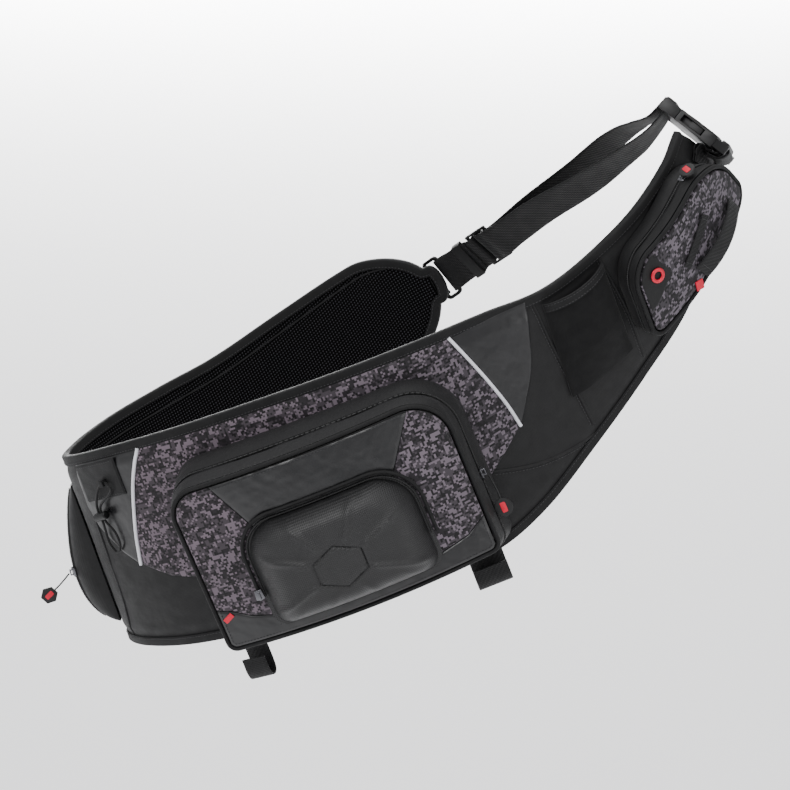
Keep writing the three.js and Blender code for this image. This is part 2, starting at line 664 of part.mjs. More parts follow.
// Fabric panels on the face round the moulded pocket. SKIN_OUT is the depth of their back.
const SKIN_OUT = -0.4;
function facePanel(columns, low, high) {
  return columnPlate(columns, low, high, (x, z) => P(x, mainDepth(x) + SKIN_OUT - COVER, z),
    (x, z) => P(x, mainDepth(x) + SKIN_OUT, z));
}
const MOULD = { left: MAIN_LEFT + MOULD_LEFT, low: MAIN_LOW + MOULD_LOW, width: MOULD_WIDTH,
  height: MOULD_HEIGHT, radii: MOULD_CORNERS };
const MOULD_RIGHT = MOULD.left + MOULD.width;
const mouldHigh = outlineLine(MOULD, 0, 1);
const STRIP_HEIGHT = 30;
const stripTop = (x) => {
  const free = MAIN_LOW + STRIP_HEIGHT + 12 * Math.abs((x - MAIN_MIDDLE) / (MAIN_WIDTH / 2)) ** 4;
  return x > MOULD.left - 2 && x < MOULD_RIGHT + 2 ? MOULD.low - 2 : free;
};
const columnsBetween = (from, to) => [from, ...FACE_COLUMNS.filter((x) => x > from + 2 && x < to - 2), to];
const LEFT_COLUMNS = columnsBetween(FACE_COLUMNS[0], MOULD.left - 3);
const RIGHT_COLUMNS = columnsBetween(MOULD_RIGHT + 3, FACE_COLUMNS[FACE_COLUMNS.length - 1]);
add('face_camo_left', facePanel(LEFT_COLUMNS, (x) => stripTop(x) + 1, (x) => mainHigh(x) - 1), camouflage());
add('face_camo_right', facePanel(RIGHT_COLUMNS, (x) => stripTop(x) + 1,
  (x) => Math.min(mainHigh(x) - 1, ramp(x, MOULD_RIGHT, MOULD_RIGHT + 26, MOULD.low + MOULD.height - 8,
    MAIN_LOW + MAIN_HEIGHT))), camouflage());
add('face_lower_strip', facePanel(columnsBetween(FACE_COLUMNS[0], FACE_COLUMNS[FACE_COLUMNS.length - 1]),
  (x) => mainLow(x) + 1, (x) => Math.min(stripTop(x), mainHigh(x)) - 1), coated());

// Moulded pocket: a hollow dome with a flat flange, open at its back.
const MOULD_MIDDLE = [MOULD.left + MOULD.width * 0.5, MOULD.low + MOULD.height * 0.46];
const DOME_RINGS = [
  { share: 1.00, lift: 0.00 }, { share: 0.93, lift: 0.06 }, { share: 0.88, lift: 0.45 },
  { share: 0.78, lift: 0.76 }, { share: 0.50, lift: 0.96 },
];
function dome(outline, depth, thickness, base) {
  const corners = [];
  const triangles = [];
  const count = outline.length;
  const [cx, cz] = MOULD_MIDDLE;
  const layer = (back) => {
    const start = corners.length;
    for (const { share, lift } of DOME_RINGS) {
      for (const [x, z] of outline) {
        const px = cx + (x - cx) * (share - (back && lift > 0.1 ? thickness / 70 : 0));
        const pz = cz + (z - cz) * (share - (back && lift > 0.1 ? thickness / 50 : 0));
        const rise = lift * depth + (back ? 0 : thickness);
        corners.push(P(px, mainDepth(px) - base - rise, pz));
      }
    }
    corners.push(P(cx, mainDepth(cx) - base - depth - (back ? 0 : thickness), cz));
    return start;
  };
  const front = layer(false);
  const rear = layer(true);
  for (const [start, flip] of [[front, false], [rear, true]]) {
    const put = (a, b, c) => triangles.push(flip ? [a, c, b] : [a, b, c]);
    for (let r = 0; r < DOME_RINGS.length; r += 1) {
      for (let k = 0; k < count; k += 1) {
        const l = (k + 1) % count;
        const a = start + r * count + k;
        const b = start + r * count + l;
        if (r === DOME_RINGS.length - 1) put(a, b, start + DOME_RINGS.length * count);
        else {
          put(a, b, b + count);
          put(a, b + count, a + count);
        }
      }
    }
  }
  for (let k = 0; k < count; k += 1) {
    const l = (k + 1) % count;
    triangles.push([front + k, rear + k, rear + l], [front + k, rear + l, front + l]);
  }
  return body(corners, triangles);
}
const MOULD_BASE = 0.4;
const mouldOutline = roundedOutline(MOULD, 0, 4, 4);
add('moulded_pocket', dome(mouldOutline, MOULD_DEPTH - MOULD_WALL, MOULD_WALL, MOULD_BASE), moulded());

// Raised six-sided boss on the moulded pocket, left bare
const BOSS_RADIUS = 17;
const bossDepth = mainDepth(MOULD_MIDDLE[0]) - MOULD_BASE - MOULD_DEPTH;
add('moulded_boss', new THREE.CylinderGeometry(BOSS_RADIUS, BOSS_RADIUS, 1.6, 6), moulded(),
  frameMatrix(P(MOULD_MIDDLE[0] - 3, bossDepth - 1.3, MOULD_MIDDLE[1] - 4), P(1, 0, 0), P(0, 1, 0), P(0, 0, 1)));

// Zip band over the moulded pocket's upper side
function mouldZip() {
  const outline = roundedOutline(MOULD, -3.4, 5, 6).filter(([, z]) => z > MOULD.low + MOULD.height * 0.3);
  const start = outline.findIndex(([x], i) => i > 0 && Math.abs(x - outline[i - 1][0]) > 60);
  const line = start > 0 ? [...outline.slice(start), ...outline.slice(0, start)] : outline;
  return tube(line.map(([x, z]) => P(x, mainDepth(x) - COVER - 2.9, z)), 1.9, 6, 20);
}
add('moulded_pocket_zip', mouldZip(), webCloth());

// Stretch pouch: one sheet that stands off the band and is open at its top
const pouchTop = (reach) => edgeAt(reach, 1) - RIM_INSET + 10;
const pouchLow = (reach) => pouchTop(reach) - POUCH_HEIGHT;
function pouch(fromShare, toShare, extra, gauge) {
  const columns = spread(POUCH_LEFT, POUCH_LEFT + POUCH_LENGTH, 6);
  const grid = (lift) => columns.map((reach, i) => spread(fromShare, toShare, toShare - fromShare > 0.5 ? 6 : 1)
    .map((share) => {
      const side = Math.sin(Math.PI * i / 6) ** 0.6;
      const up = Math.min(1, share * 2.4) ** 0.7;
      const out = COVER_BACK + 0.3 + POUCH_DEPTH * side * up + extra * side + lift;
      return place(reach, pouchLow(reach) + (pouchTop(reach) - pouchLow(reach)) * share, out);
    }));
  return wall(grid(gauge), grid(0));
}
add('stretch_pouch', pouch(0.01, 0.93, 0, FABRIC), inkCloth());
add('pouch_hem', pouch(0.94, 1, 0.4, FABRIC + 1), tapeCloth());

// Shoulder pocket, built like the main one but along the band
const SHOULDER = { left: SHOULDER_LEFT, low: SHOULDER_LOW, width: SHOULDER_LENGTH, height: SHOULDER_HEIGHT,
  radii: SHOULDER_CORNERS };
const SHOULDER_ROOT = PANEL / 2 + 0.9;
const SHOULDER_OUT = SHOULDER_ROOT + SHOULDER_DEPTH;
function shoulderStrip(from, to, gauge) {
  const ring = (inset) => roundedOutline(SHOULDER, inset, 3, 5).map(([reach, across]) => {
    const start = place(reach, across, SHOULDER_ROOT);
    const end = place(reach, across, SHOULDER_OUT - GUSSET_END);
    return [start.clone().lerp(end, from), start.clone().lerp(end, to)];
  });
  const outer = ring((FABRIC - gauge) / 2);
  const inner = ring((FABRIC + gauge) / 2);
  return loft(outer.map(([a, b], k) => [a, b, inner[k][1], inner[k][0]]), { closed: true });
}
add('shoulder_pocket_gusset', shoulderStrip(0, 0.5, FABRIC), inkCloth());
add('shoulder_pocket_zip_tape', shoulderStrip(0.515, 0.68, FABRIC / 2), webCloth());
add('shoulder_pocket_front_strip', shoulderStrip(0.695, 1, FABRIC), inkCloth());

const SHOULDER_EDGE = PIPING_RADIUS * 2 + 0.6;
const shoulderLow = outlineLine(SHOULDER, SHOULDER_EDGE, -1);
const shoulderHigh = outlineLine(SHOULDER, SHOULDER_EDGE, 1);
const SHOULDER_COLUMNS = spread(SHOULDER_LEFT + SHOULDER_EDGE + 0.6,
  SHOULDER_LEFT + SHOULDER_LENGTH - SHOULDER_EDGE - 0.6, 12);
const shoulderPoint = (out) => (reach, across) => place(reach, across, SHOULDER_OUT + out);
add('shoulder_pocket_face', columnPlate(SHOULDER_COLUMNS, shoulderLow, shoulderHigh, shoulderPoint(0),
  shoulderPoint(-FACE_WALL), 3), camouflage());
add('shoulder_pocket_piping', hoop(roundedOutline(SHOULDER, PIPING_RADIUS - 0.2, 4, 5)
  .map(([reach, across]) => place(reach, across, SHOULDER_OUT - PIPING_RADIUS)), PIPING_RADIUS, 5,
station(0.85).outward), tapeCloth());

// Eyelet and its patch at the pocket's low corner
const EYELET_INSET = 25;
const EYELET_REACH = SHOULDER_LEFT + EYELET_INSET;
const EYELET_ACROSS = 27;
const EYELET_OUTER = 7.6;
const EYELET_INNER = 4;
const patchColumns = spread(SHOULDER_LEFT + SHOULDER_EDGE + 2, EYELET_REACH + 16, 4);
const SKIN_STEP = 0.6;
add('eyelet_patch', columnPlate(patchColumns, (reach) => ramp(reach, EYELET_REACH - 14, EYELET_REACH + 16,
  EYELET_ACROSS - 26, EYELET_ACROSS - 14), (reach) => Math.min(shoulderHigh(reach) - 1,
  ramp(reach, EYELET_REACH, EYELET_REACH + 16, EYELET_ACROSS + 24, EYELET_ACROSS - 6)),
shoulderPoint(SKIN_STEP + COVER), shoulderPoint(SKIN_STEP), 2), inkCloth());
add('eyelet', washer(EYELET_OUTER, EYELET_INNER, 2, 14), accent(),
  bandMatrix(EYELET_REACH, EYELET_ACROSS, SHOULDER_OUT + SKIN_STEP + COVER + 1.6));

// Tool webbing on the pocket face: a narrow flat band and a wider arched loop
function faceBand(from, to, width, arch, name) {
  const count = 10;
  const points = spread(0, 1, count).map((t) => {
    const lift = SKIN_STEP + 0.9 + arch * Math.sin(Math.PI * t);
    return place(from[0] + (to[0] - from[0]) * t, from[1] + (to[1] - from[1]) * t, SHOULDER_OUT + lift);
  });
  const ends = points[count].clone().sub(points[0]).normalize();
  const widths = points.map((_, i) => ends.clone().cross(station(atReach(
    from[0] + (to[0] - from[0]) * i / count)).outward));
  add(name, webbing(points, widths, width, WEBBING_THICK), webCloth());
}
faceBand([SHOULDER_LEFT + 100, 20], [SHOULDER_LEFT + 56, 4], 9, 0, 'tool_webbing_narrow');
faceBand([SHOULDER_LEFT + 130, -12], [SHOULDER_LEFT + 68, -16], 20, 7, 'tool_webbing_loop');

// Hip pocket on the wing: a drop-shaped shell in two halves with a zip between them
const hipSwell = (side, up) => Math.sin(Math.PI * side ** 0.8) ** 0.7 * Math.sin(Math.PI * up ** 0.62) ** 0.75;
function hipSurface(side, up) {
  const point = (a, b) => place(-6 - HIP_POCKET_LENGTH * a, HIP_POCKET_LOW + HIP_POCKET_HEIGHT * b,
    PANEL / 2 + HIP_POCKET_LIFT + HIP_POCKET_DEPTH * hipSwell(a, b));
  const step = 0.004;
  const a = THREE.MathUtils.clamp(side, 2 * step, 1 - 2 * step);
  const b = THREE.MathUtils.clamp(up, 2 * step, 1 - 2 * step);
  const alongSide = point(a + step, b).sub(point(a - step, b));
  const alongUp = point(a, b + step).sub(point(a, b - step));
  const normal = alongUp.clone().cross(alongSide).normalize();
  return { point: point(side, up), normal, along: alongUp.normalize() };
}
function hipShell(from, to, steps, gauge) {
  const spots = spread(from, to, steps).map((side) => spread(0, 1, 9).map((up) => hipSurface(side, up)));
  const grid = (lift) => spots.map((row) => row.map(({ point, normal }) => (
    point.clone().addScaledVector(normal, lift))));
  return wall(grid(0), grid(-gauge));
}
const HIP_ZIP = 0.09;
const HIP_ZIP_HALF = 0.012;
const HIP_SEAM = 0.004;
const HIP_SIDE = 0.3;
add('hip_pocket_front', hipShell(0, HIP_ZIP - HIP_ZIP_HALF - HIP_SEAM, 3, FABRIC), inkCloth());
add('hip_pocket_zip_tape', hipShell(HIP_ZIP - HIP_ZIP_HALF, HIP_ZIP + HIP_ZIP_HALF, 1, FABRIC / 2), webCloth());
add('hip_pocket_side', hipShell(HIP_ZIP + HIP_ZIP_HALF + HIP_SEAM, HIP_SIDE, 3, FABRIC), inkCloth());
add('hip_pocket_back', hipShell(HIP_SIDE + 2 * HIP_SEAM, 1, 6, FABRIC), camouflage());

// Hip webbing patch, the elastic cord that hangs from it and the cord's toggle
const TAB_FROM = 42;
const TAB_TO = 98;
add('hip_webbing_patch', columnPlate(spread(TAB_FROM, TAB_TO, 6), (reach) => edgeAt(reach, 1) - RIM_INSET - 27,
  (reach) => edgeAt(reach, 1) - RIM_INSET - 1, (reach, across) => place(reach, across, COVER_FRONT + 2.2),
  (reach, across) => place(reach, across, COVER_FRONT + 0.6), 2), webCloth());
const CORD_RADIUS = 1.3;
const CORD_OUT = COVER_FRONT + 2.2 + CORD_RADIUS + 0.5;
// reach and across of the cord's loop, down its left side and up its right side
const CORD_LOOP = [
  { reach: 74, across: 76, out: 2 }, { reach: 69, across: 72, out: 2 }, { reach: 55, across: 48, out: 2.8 },
  { reach: 56.1, across: 36.7, out: 2.8 }, { reach: 51, across: 25, out: 0 }, { reach: 50.5, across: 10, out: 0 },
  { reach: 57, across: 1, out: 0 }, { reach: 64.5, across: 7, out: 0 }, { reach: 65, across: 22, out: 0 },
  { reach: 60.7, across: 36.5, out: 2.8 }, { reach: 59.2, across: 48, out: 2.8 },
  { reach: 84, across: 71, out: 2 }, { reach: 80, across: 76, out: 2 },
];
const cordPath = new THREE.CatmullRomCurve3(CORD_LOOP.map(({ reach, across, out }) => (
  place(reach, across, CORD_OUT + out))), true, 'centripetal');
add('elastic_cord', hoop(cordPath.getPoints(36).slice(0, -1), CORD_RADIUS, 5, station(0.1).outward),
  cordCloth());
add('cord_anchor', sleeve(4, 4, 1.2, 5), webCloth(), (() => {
  const base = bandMatrix(77, 76, CORD_OUT + 2);
  return base.multiply(new THREE.Matrix4().makeRotationY(Math.PI / 2));
})());
const TOGGLE_RADIUS = 4.3;
const TOGGLE_LENGTH = 19;
const toggleProfile = [[0, -TOGGLE_LENGTH / 2], [TOGGLE_RADIUS - 1, -TOGGLE_LENGTH / 2],
  [TOGGLE_RADIUS, -TOGGLE_LENGTH / 2 + 1.2], [TOGGLE_RADIUS, TOGGLE_LENGTH / 2 - 1.2],
  [TOGGLE_RADIUS - 1, TOGGLE_LENGTH / 2], [0, TOGGLE_LENGTH / 2]].map(([r, z]) => new THREE.Vector2(r, z));
const barrel = new THREE.LatheGeometry(toggleProfile, 12).rotateZ(-Math.PI / 2);
add('cord_toggle', carve(barrel, [], [block(-4.6, 4.6, -8, 8, -2, 2)]), acetal(),
  bandMatrix(57.6, 42, CORD_OUT + 2.8, 10));

// Frame of the buckle: length along the buckle, width across it, and its outward side
const BUCKLE_BACK = P(LOOP_LENGTH * 0.979, LOOP_DEPTH * 0.016, SHOULDER_RISE * 1.296);
const BUCKLE_Y = P(0.068, 0.898, -0.435).normalize();
const BUCKLE_X = (() => {
  const rough = P(0.475, 0, -0.88);
  return rough.addScaledVector(BUCKLE_Y, -rough.dot(BUCKLE_Y)).normalize();
})();
const BUCKLE_Z = BUCKLE_X.clone().cross(BUCKLE_Y);
const buckleMatrix = frameMatrix(BUCKLE_BACK, BUCKLE_X, BUCKLE_Y, BUCKLE_Z);
const inBuckle = (x, y, z) => P(x, y, z).applyMatrix4(buckleMatrix);
const WRAP = BUCKLE_BAR + 0.5 + WEBBING_THICK / 2;
const PLUG_BAR = BUCKLE_BAR + 0.2;
const SOCKET_BAR = BUCKLE_LENGTH - BUCKLE_BAR - 0.2;

// Side-release buckle: a plug with two prongs, in a hollow socket with windows in its sides
function buckleBar(x, width) {
  return new THREE.CylinderGeometry(BUCKLE_BAR, BUCKLE_BAR, width, 12).translate(x, 0, 0);
}
const HALF_WIDTH = BUCKLE_WIDTH / 2;
const HALF_THICK = BUCKLE_THICK / 2;
const SLOT_HALF = WEBBING / 2 + 1;
const PLUG_FACE = 20.5;
const SOCKET_FACE = 21.2;
const SOCKET_BODY = BUCKLE_LENGTH - 15;
const plugFrame = block(0.2, PLUG_FACE, -HALF_WIDTH, HALF_WIDTH, -HALF_THICK + 0.3, HALF_THICK - 0.3);
const plugSlot = block(-3, PLUG_BAR + WRAP + 4, -SLOT_HALF, SLOT_HALF, -HALF_THICK - 1, HALF_THICK + 1);
const prongs = [-1, 1].map((side) => block(PLUG_FACE - 4, 50, Math.min(side * 12, side * 18.4),
  Math.max(side * 12, side * 18.4), -3.2, 3.2));
const barbs = [-1, 1].map((side) => block(36, 50, Math.min(side * 18, side * 22.6),
  Math.max(side * 18, side * 22.6), -3.2, 3.2));
const tongue = block(PLUG_FACE - 4, 44, -4, 4, -2.6, 2.6);
const plugBody = solidOf(plugFrame).subtract(solidOf(plugSlot)).add(solidOf(buckleBar(PLUG_BAR, BUCKLE_WIDTH - 2)))
  .add(solidOf(prongs[0])).add(solidOf(prongs[1])).add(solidOf(barbs[0])).add(solidOf(barbs[1]))
  .add(solidOf(tongue));
add('buckle_plug', geometryOf(plugBody), acetal(), buckleMatrix);

const socketBlock = block(SOCKET_FACE, SOCKET_BODY, -HALF_WIDTH, HALF_WIDTH, -HALF_THICK, HALF_THICK);
const cavity = block(SOCKET_FACE - 5, SOCKET_BODY - 8, -19, 19, -3.7, 3.7);
const windows = block(26, 52, -HALF_WIDTH - 2, HALF_WIDTH + 2, -3.7, 3.7);
const endFrame = block(SOCKET_BODY - 2, BUCKLE_LENGTH - 0.2, -HALF_WIDTH + 1, HALF_WIDTH - 1, -4.4, 4.4);
const endSlot = block(SOCKET_BAR - WRAP - 4, BUCKLE_LENGTH + 3, -SLOT_HALF, SLOT_HALF, -HALF_THICK, HALF_THICK);
const socketBody = solidOf(socketBlock).subtract(solidOf(cavity)).subtract(solidOf(windows))
  .add(solidOf(endFrame).subtract(solidOf(endSlot))).add(solidOf(buckleBar(SOCKET_BAR, BUCKLE_WIDTH - 4)));
add('buckle_socket', geometryOf(socketBody), acetal(), buckleMatrix);

// The strap's own frame at a length from the ring: middle, width and outward normal
const STRAP_ROWS = (() => {
  const rows = [{ at: 0, reach: 0 }];
  for (let i = 1; i <= 200; i += 1) {
    const step = coursePoint(STRAP_COURSE, i / 200).distanceTo(coursePoint(STRAP_COURSE, (i - 1) / 200));
    rows.push({ at: i / 200, reach: rows[i - 1].reach + step });
  }
  return rows;
})();
const STRAP_LENGTH = STRAP_ROWS[STRAP_ROWS.length - 1].reach;
function strapFrame(reach) {
  const inside = THREE.MathUtils.clamp(reach, 0, STRAP_LENGTH);
  const k = Math.max(1, STRAP_ROWS.findIndex((row) => row.reach >= inside - 1e-9));
  const share = (inside - STRAP_ROWS[k - 1].reach) / (STRAP_ROWS[k].reach - STRAP_ROWS[k - 1].reach);
  const at = STRAP_ROWS[k - 1].at + share * (STRAP_ROWS[k].at - STRAP_ROWS[k - 1].at);
  const travel = coursePoint(STRAP_COURSE, at + 1e-3).sub(coursePoint(STRAP_COURSE, at - 1e-3)).normalize();
  const width = leaning(ease(STRAP_COURSE, 'tilt', at), ease(STRAP_COURSE, 'lean', at)).negate();
  const across = width.addScaledVector(travel, -width.dot(travel)).normalize();
  const outward = across.clone().cross(travel).normalize();
  if (outward.z < 0) outward.negate();
  const middle = coursePoint(STRAP_COURSE, at).addScaledVector(travel, reach - inside);
  return { middle, travel, across, outward, arch: ease(STRAP_COURSE, 'arch', at) * SLACK };
}
function onStrap(reach, out) {
  const frame = strapFrame(reach);
  return { point: frame.middle.addScaledVector(frame.outward, out), across: frame.across };
}

// The webbing: tail round the ring, outer layer through the slider, round the plug's bar,
// and back as the inner layer to the slider's middle bar, where it is sewn.
const LAYER = WEBBING_THICK / 2 + 0.35;
const RING_WRAP = RING_WIRE * Math.SQRT2 + 0.6 + WEBBING_THICK / 2;
const SLIDER_PITCH = SLIDER_BAR + SLIDER_WINDOW;
const SLIDER_OUT = 3.1;
const OVER = SLIDER_THICK / 2 + 0.5 + WEBBING_THICK / 2;
const SEWN = Math.hypot(SLIDER_BAR, SLIDER_THICK) / 2 + 0.4 + WEBBING_THICK / 2;
const sliderMiddle = strapFrame(SLIDER_AT);
const sliderMatrix = frameMatrix(sliderMiddle.middle, sliderMiddle.travel,
  sliderMiddle.outward.clone().cross(sliderMiddle.travel), sliderMiddle.outward);
const onSlider = (shift, out) => ({ point: P(shift, 0, out).applyMatrix4(sliderMatrix),
  across: sliderMiddle.across });
function strapLine() {
  const line = [onStrap(40, -LAYER), onStrap(28, -LAYER), onStrap(14, -LAYER), onStrap(6, -RING_WRAP + 0.6)];
  for (const turn of spread(-90, -270, 8)) {
    const angle = THREE.MathUtils.degToRad(turn);
    line.push(onStrap(RING_WRAP * Math.cos(angle), RING_WRAP * Math.sin(angle)));
  }
  line.push(onStrap(6, RING_WRAP - 0.6), onStrap(14, LAYER), onStrap(28, LAYER));
  line.push(onStrap(SLIDER_AT - SLIDER_PITCH - 7, LAYER - 0.3));
  const under = SLIDER_OUT - OVER;
  const above = SLIDER_OUT + SEWN + WEBBING_THICK + 0.5;
  for (const [shift, out] of [[-14, under], [-9, under], [-4.2, above - 0.6], [-1.5, above], [1.5, above],
    [4.2, above - 0.6], [9, under], [14, under]]) {
    line.push(onSlider(shift, out));
  }
  for (const reach of spread(SLIDER_AT + 26, STRAP_LENGTH - 2, 13)) {
    line.push(onStrap(reach, Math.max(LAYER - 0.2, strapFrame(reach).arch)));
  }
  for (const turn of spread(190, 0, 8)) {
    const angle = THREE.MathUtils.degToRad(turn);
    line.push({ point: inBuckle(PLUG_BAR + WRAP * Math.cos(angle), 0, WRAP * Math.sin(angle)), across: BUCKLE_Y });
  }
  line.push({ point: inBuckle(PLUG_BAR + WRAP, 0, -4), across: BUCKLE_Y });
  line.push({ point: inBuckle(PLUG_BAR + WRAP + 0.3, 0, -8.5), across: BUCKLE_Y });
  for (const reach of spread(STRAP_LENGTH - 2, SLIDER_AT + 26, 13)) line.push(onStrap(reach, -LAYER));
  const innerUnder = under - WEBBING_THICK - 0.5;
  line.push(onSlider(14, innerUnder), onSlider(9.5, innerUnder));
  for (const turn of spread(-60, -300, 9)) {
    const angle = THREE.MathUtils.degToRad(turn);
    line.push(onSlider(SEWN * Math.cos(angle), SLIDER_OUT + SEWN * Math.sin(angle)));
  }
  return line;
}
const strap = strapLine();
add('strap_webbing', webbing(strap.map((entry) => entry.point), strap.map((entry) => entry.across), WEBBING,
  WEBBING_THICK), webCloth());

// Slider: three bars in one plate
function sliderPlate() {
  const half = SLIDER_PITCH + SLIDER_BAR / 2;
  const plate = block(-half, half, -SLIDER_WIDTH / 2, SLIDER_WIDTH / 2, -SLIDER_THICK / 2, SLIDER_THICK / 2);
  const holes = [-1, 1].map((side) => block(side * SLIDER_PITCH / 2 - SLIDER_WINDOW / 2,
    side * SLIDER_PITCH / 2 + SLIDER_WINDOW / 2, -SLOT_HALF, SLOT_HALF, -SLIDER_THICK, SLIDER_THICK));
  return carve(plate, [], holes);
}
add('strap_slider', sliderPlate().translate(0, 0, SLIDER_OUT), acetal(), sliderMatrix);
add('strap_keeper', sleeve(2 * (LAYER + WEBBING_THICK / 2) + 1.6, WEBBING + 1.4, 1.3, 11), webCloth(), (() => {
  const frame = strapFrame(30);
  const z = frame.travel;
  const y = frame.across;
  return frameMatrix(frame.middle, y.clone().cross(z), y, z);
})());

// Rectangular ring between the strap and the wing, and the webbing tab that holds it
const ringFrame = strapFrame(0);
const RING_HALF = RING_LENGTH / 2 - RING_WIRE;
const ringMiddle = ringFrame.middle.clone().addScaledVector(ringFrame.travel, -RING_HALF);
const ringPoint = (x, y) => ringMiddle.clone().addScaledVector(ringFrame.travel, x)
  .addScaledVector(ringFrame.across, y);
const RING_BOX = { left: -RING_LENGTH / 2, low: -RING_WIDTH / 2, width: RING_LENGTH, height: RING_WIDTH,
  radii: [5, 5, 5, 5] };
function ringPlate() {
  const shapeOf = (inset) => roundedOutline(RING_BOX, inset, 3, 1).map(([x, y]) => new THREE.Vector2(x, y));
  const shape = new THREE.Shape(shapeOf(0));
  shape.holes.push(new THREE.Path(shapeOf(2 * RING_WIRE).reverse()));
  return new THREE.ExtrudeGeometry(shape, { depth: 2 * RING_WIRE, bevelEnabled: false })
    .translate(0, 0, -RING_WIRE);
}
add('wing_ring', ringPlate(), acetal(), frameMatrix(ringMiddle, ringFrame.travel, ringFrame.across,
  ringFrame.travel.clone().cross(ringFrame.across)));

function ringTab() {
  const tip = station(WING_TIP);
  const bar = ringPoint(-RING_HALF, 0);
  const toBar = ringFrame.travel;
  const normal = ringFrame.outward;
  const line = [];
  const back = (reach, out) => ({ point: onStation(station(WING_TIP + reach / WING_LENGTH), 0, out),
    across: tip.across.clone().negate() });
  const base = PANEL / 2 + 1.2 + WEBBING_THICK / 2;
  line.push(back(34, base), back(18, base), back(7, base));
  for (const turn of spread(-120, 150, 9)) {
    const angle = THREE.MathUtils.degToRad(turn);
    line.push({ point: bar.clone().addScaledVector(toBar, RING_WRAP * Math.cos(angle))
      .addScaledVector(normal, RING_WRAP * Math.sin(angle)), across: ringFrame.across });
  }
  line.push(back(12, base + 2.8), back(20, base + 2.2), back(34, base + 2.2));
  return line;
}
const tab = ringTab();
add('ring_tab', webbing(tab.map((entry) => entry.point), tab.map((entry) => entry.across), WEBBING - 2,
  WEBBING_THICK), webCloth());

// Short tab from the band's shoulder end round the socket's bar
function shoulderTab() {
  const flip = BUCKLE_Y.clone().negate();
  const base = COVER_BACK + WEBBING_THICK / 2 + 0.7;
  const onBand = (short, out) => ({ point: place(FRONT_LENGTH - short, 0, out),
    across: station(atReach(FRONT_LENGTH - short)).across });
  const endAcross = station(1).across;
  const line = [onBand(20, base), onBand(12, base), onBand(4, base)];
  line.push({ point: inBuckle(SOCKET_BAR - 19.2, 0, -8.2), across: endAcross });
  line.push({ point: inBuckle(SOCKET_BAR - 11.8, 0, -7.9), across: flip });
  line.push({ point: inBuckle(SOCKET_BAR - 5, 0, -5.6), across: flip });
  for (const turn of spread(180, -20, 8)) {
    const angle = THREE.MathUtils.degToRad(turn);
    line.push({ point: inBuckle(SOCKET_BAR + WRAP * Math.cos(angle), 0, WRAP * Math.sin(angle)), across: flip });
  }
  line.push({ point: inBuckle(SOCKET_BAR + WRAP - 2.1, 0, -6.4), across: flip });
  line.push({ point: inBuckle(SOCKET_BAR - 6.8, 0, -10.6), across: flip });
  line.push({ point: inBuckle(SOCKET_BAR - 15.8, 0, -11.4), across: endAcross });
  line.push(onBand(8, base + 2.6), onBand(14, base + 2.4), onBand(20, base + 2.4));
  return line;
}
const endTab = shoulderTab();
add('shoulder_tab', webbing(endTab.map((entry) => entry.point), endTab.map((entry) => entry.across), WEBBING - 5,
  WEBBING_THICK), webCloth());

// Gear loops under the bag, sewn behind its lower edge
function gearLoop(name, reach, width, drop, tail) {
  const frame = station(atReach(reach));
  const low = -frame.height / 2;
  const inside = PANEL / 2 + 1.2 + WEBBING_THICK / 2;
  const curl = inside + 1.5;
  const line = [[low + 26, -inside], [low + 8, -inside], [low - 2, -inside - 0.6], [low - drop + curl, -curl]];
  for (const turn of spread(195, 345, 6)) {
    const angle = THREE.MathUtils.degToRad(turn);
    line.push([low - drop + curl + curl * Math.sin(angle), curl * Math.cos(angle)]);
  }
  line.push([low - drop + curl + tail, curl + 1]);
  const points = line.map(([across, out]) => onStation(frame, across, out));
  const along = frame.across.clone().cross(frame.outward);
  add(name, webbing(points, points.map(() => along), width, WEBBING_THICK), webCloth());
}
const MAIN_REACH = 150;
gearLoop('gear_loop_left', MAIN_REACH + 12, GEAR_WEBBING, 48, 16);
gearLoop('gear_loop_right', MAIN_REACH + 262, GEAR_WEBBING + 10, 30, 14);

// Zip sliders: a wedge body with a bail. Pullers: a cord and a bare flat tab.
function zipSlider(name, matrix) {
  const wedge = new THREE.Shape();
  wedge.moveTo(-5, -3.4).lineTo(4, -4.4).lineTo(5.6, 0).lineTo(4, 4.4).lineTo(-5, 3.4).closePath();
  const plate = new THREE.ExtrudeGeometry(wedge, { depth: 2.4, bevelEnabled: false });
  const bail = carve(block(-3, 3.6, -1.2, 1.2, 1.8, 5.4), [], [block(-1.6, 2.2, -3, 3, 2.4, 4.2)]);
  add(name, carve(plate, [bail], []), acetal(), matrix);
}
function puller(name, from, to, tabRadius, tabSides) {
  const x = to.clone().sub(from).normalize();
  const z = P(0, -1, 0).addScaledVector(x, x.y).normalize();
  const reach = to.distanceTo(from);
  const tabPiece = new THREE.CylinderGeometry(tabRadius, tabRadius, 3.2, tabSides).rotateX(Math.PI / 2)
    .translate(reach, 0, 0);
  const cordPiece = tube([P(0.6, 0, 0), P(reach * 0.5, 0.8, 0), P(reach, 0, 0)], 0.9, 6, 6);
  add(name, carve(tabPiece, [cordPiece], []), acetal(), frameMatrix(from, x, z.clone().cross(x), z));
}

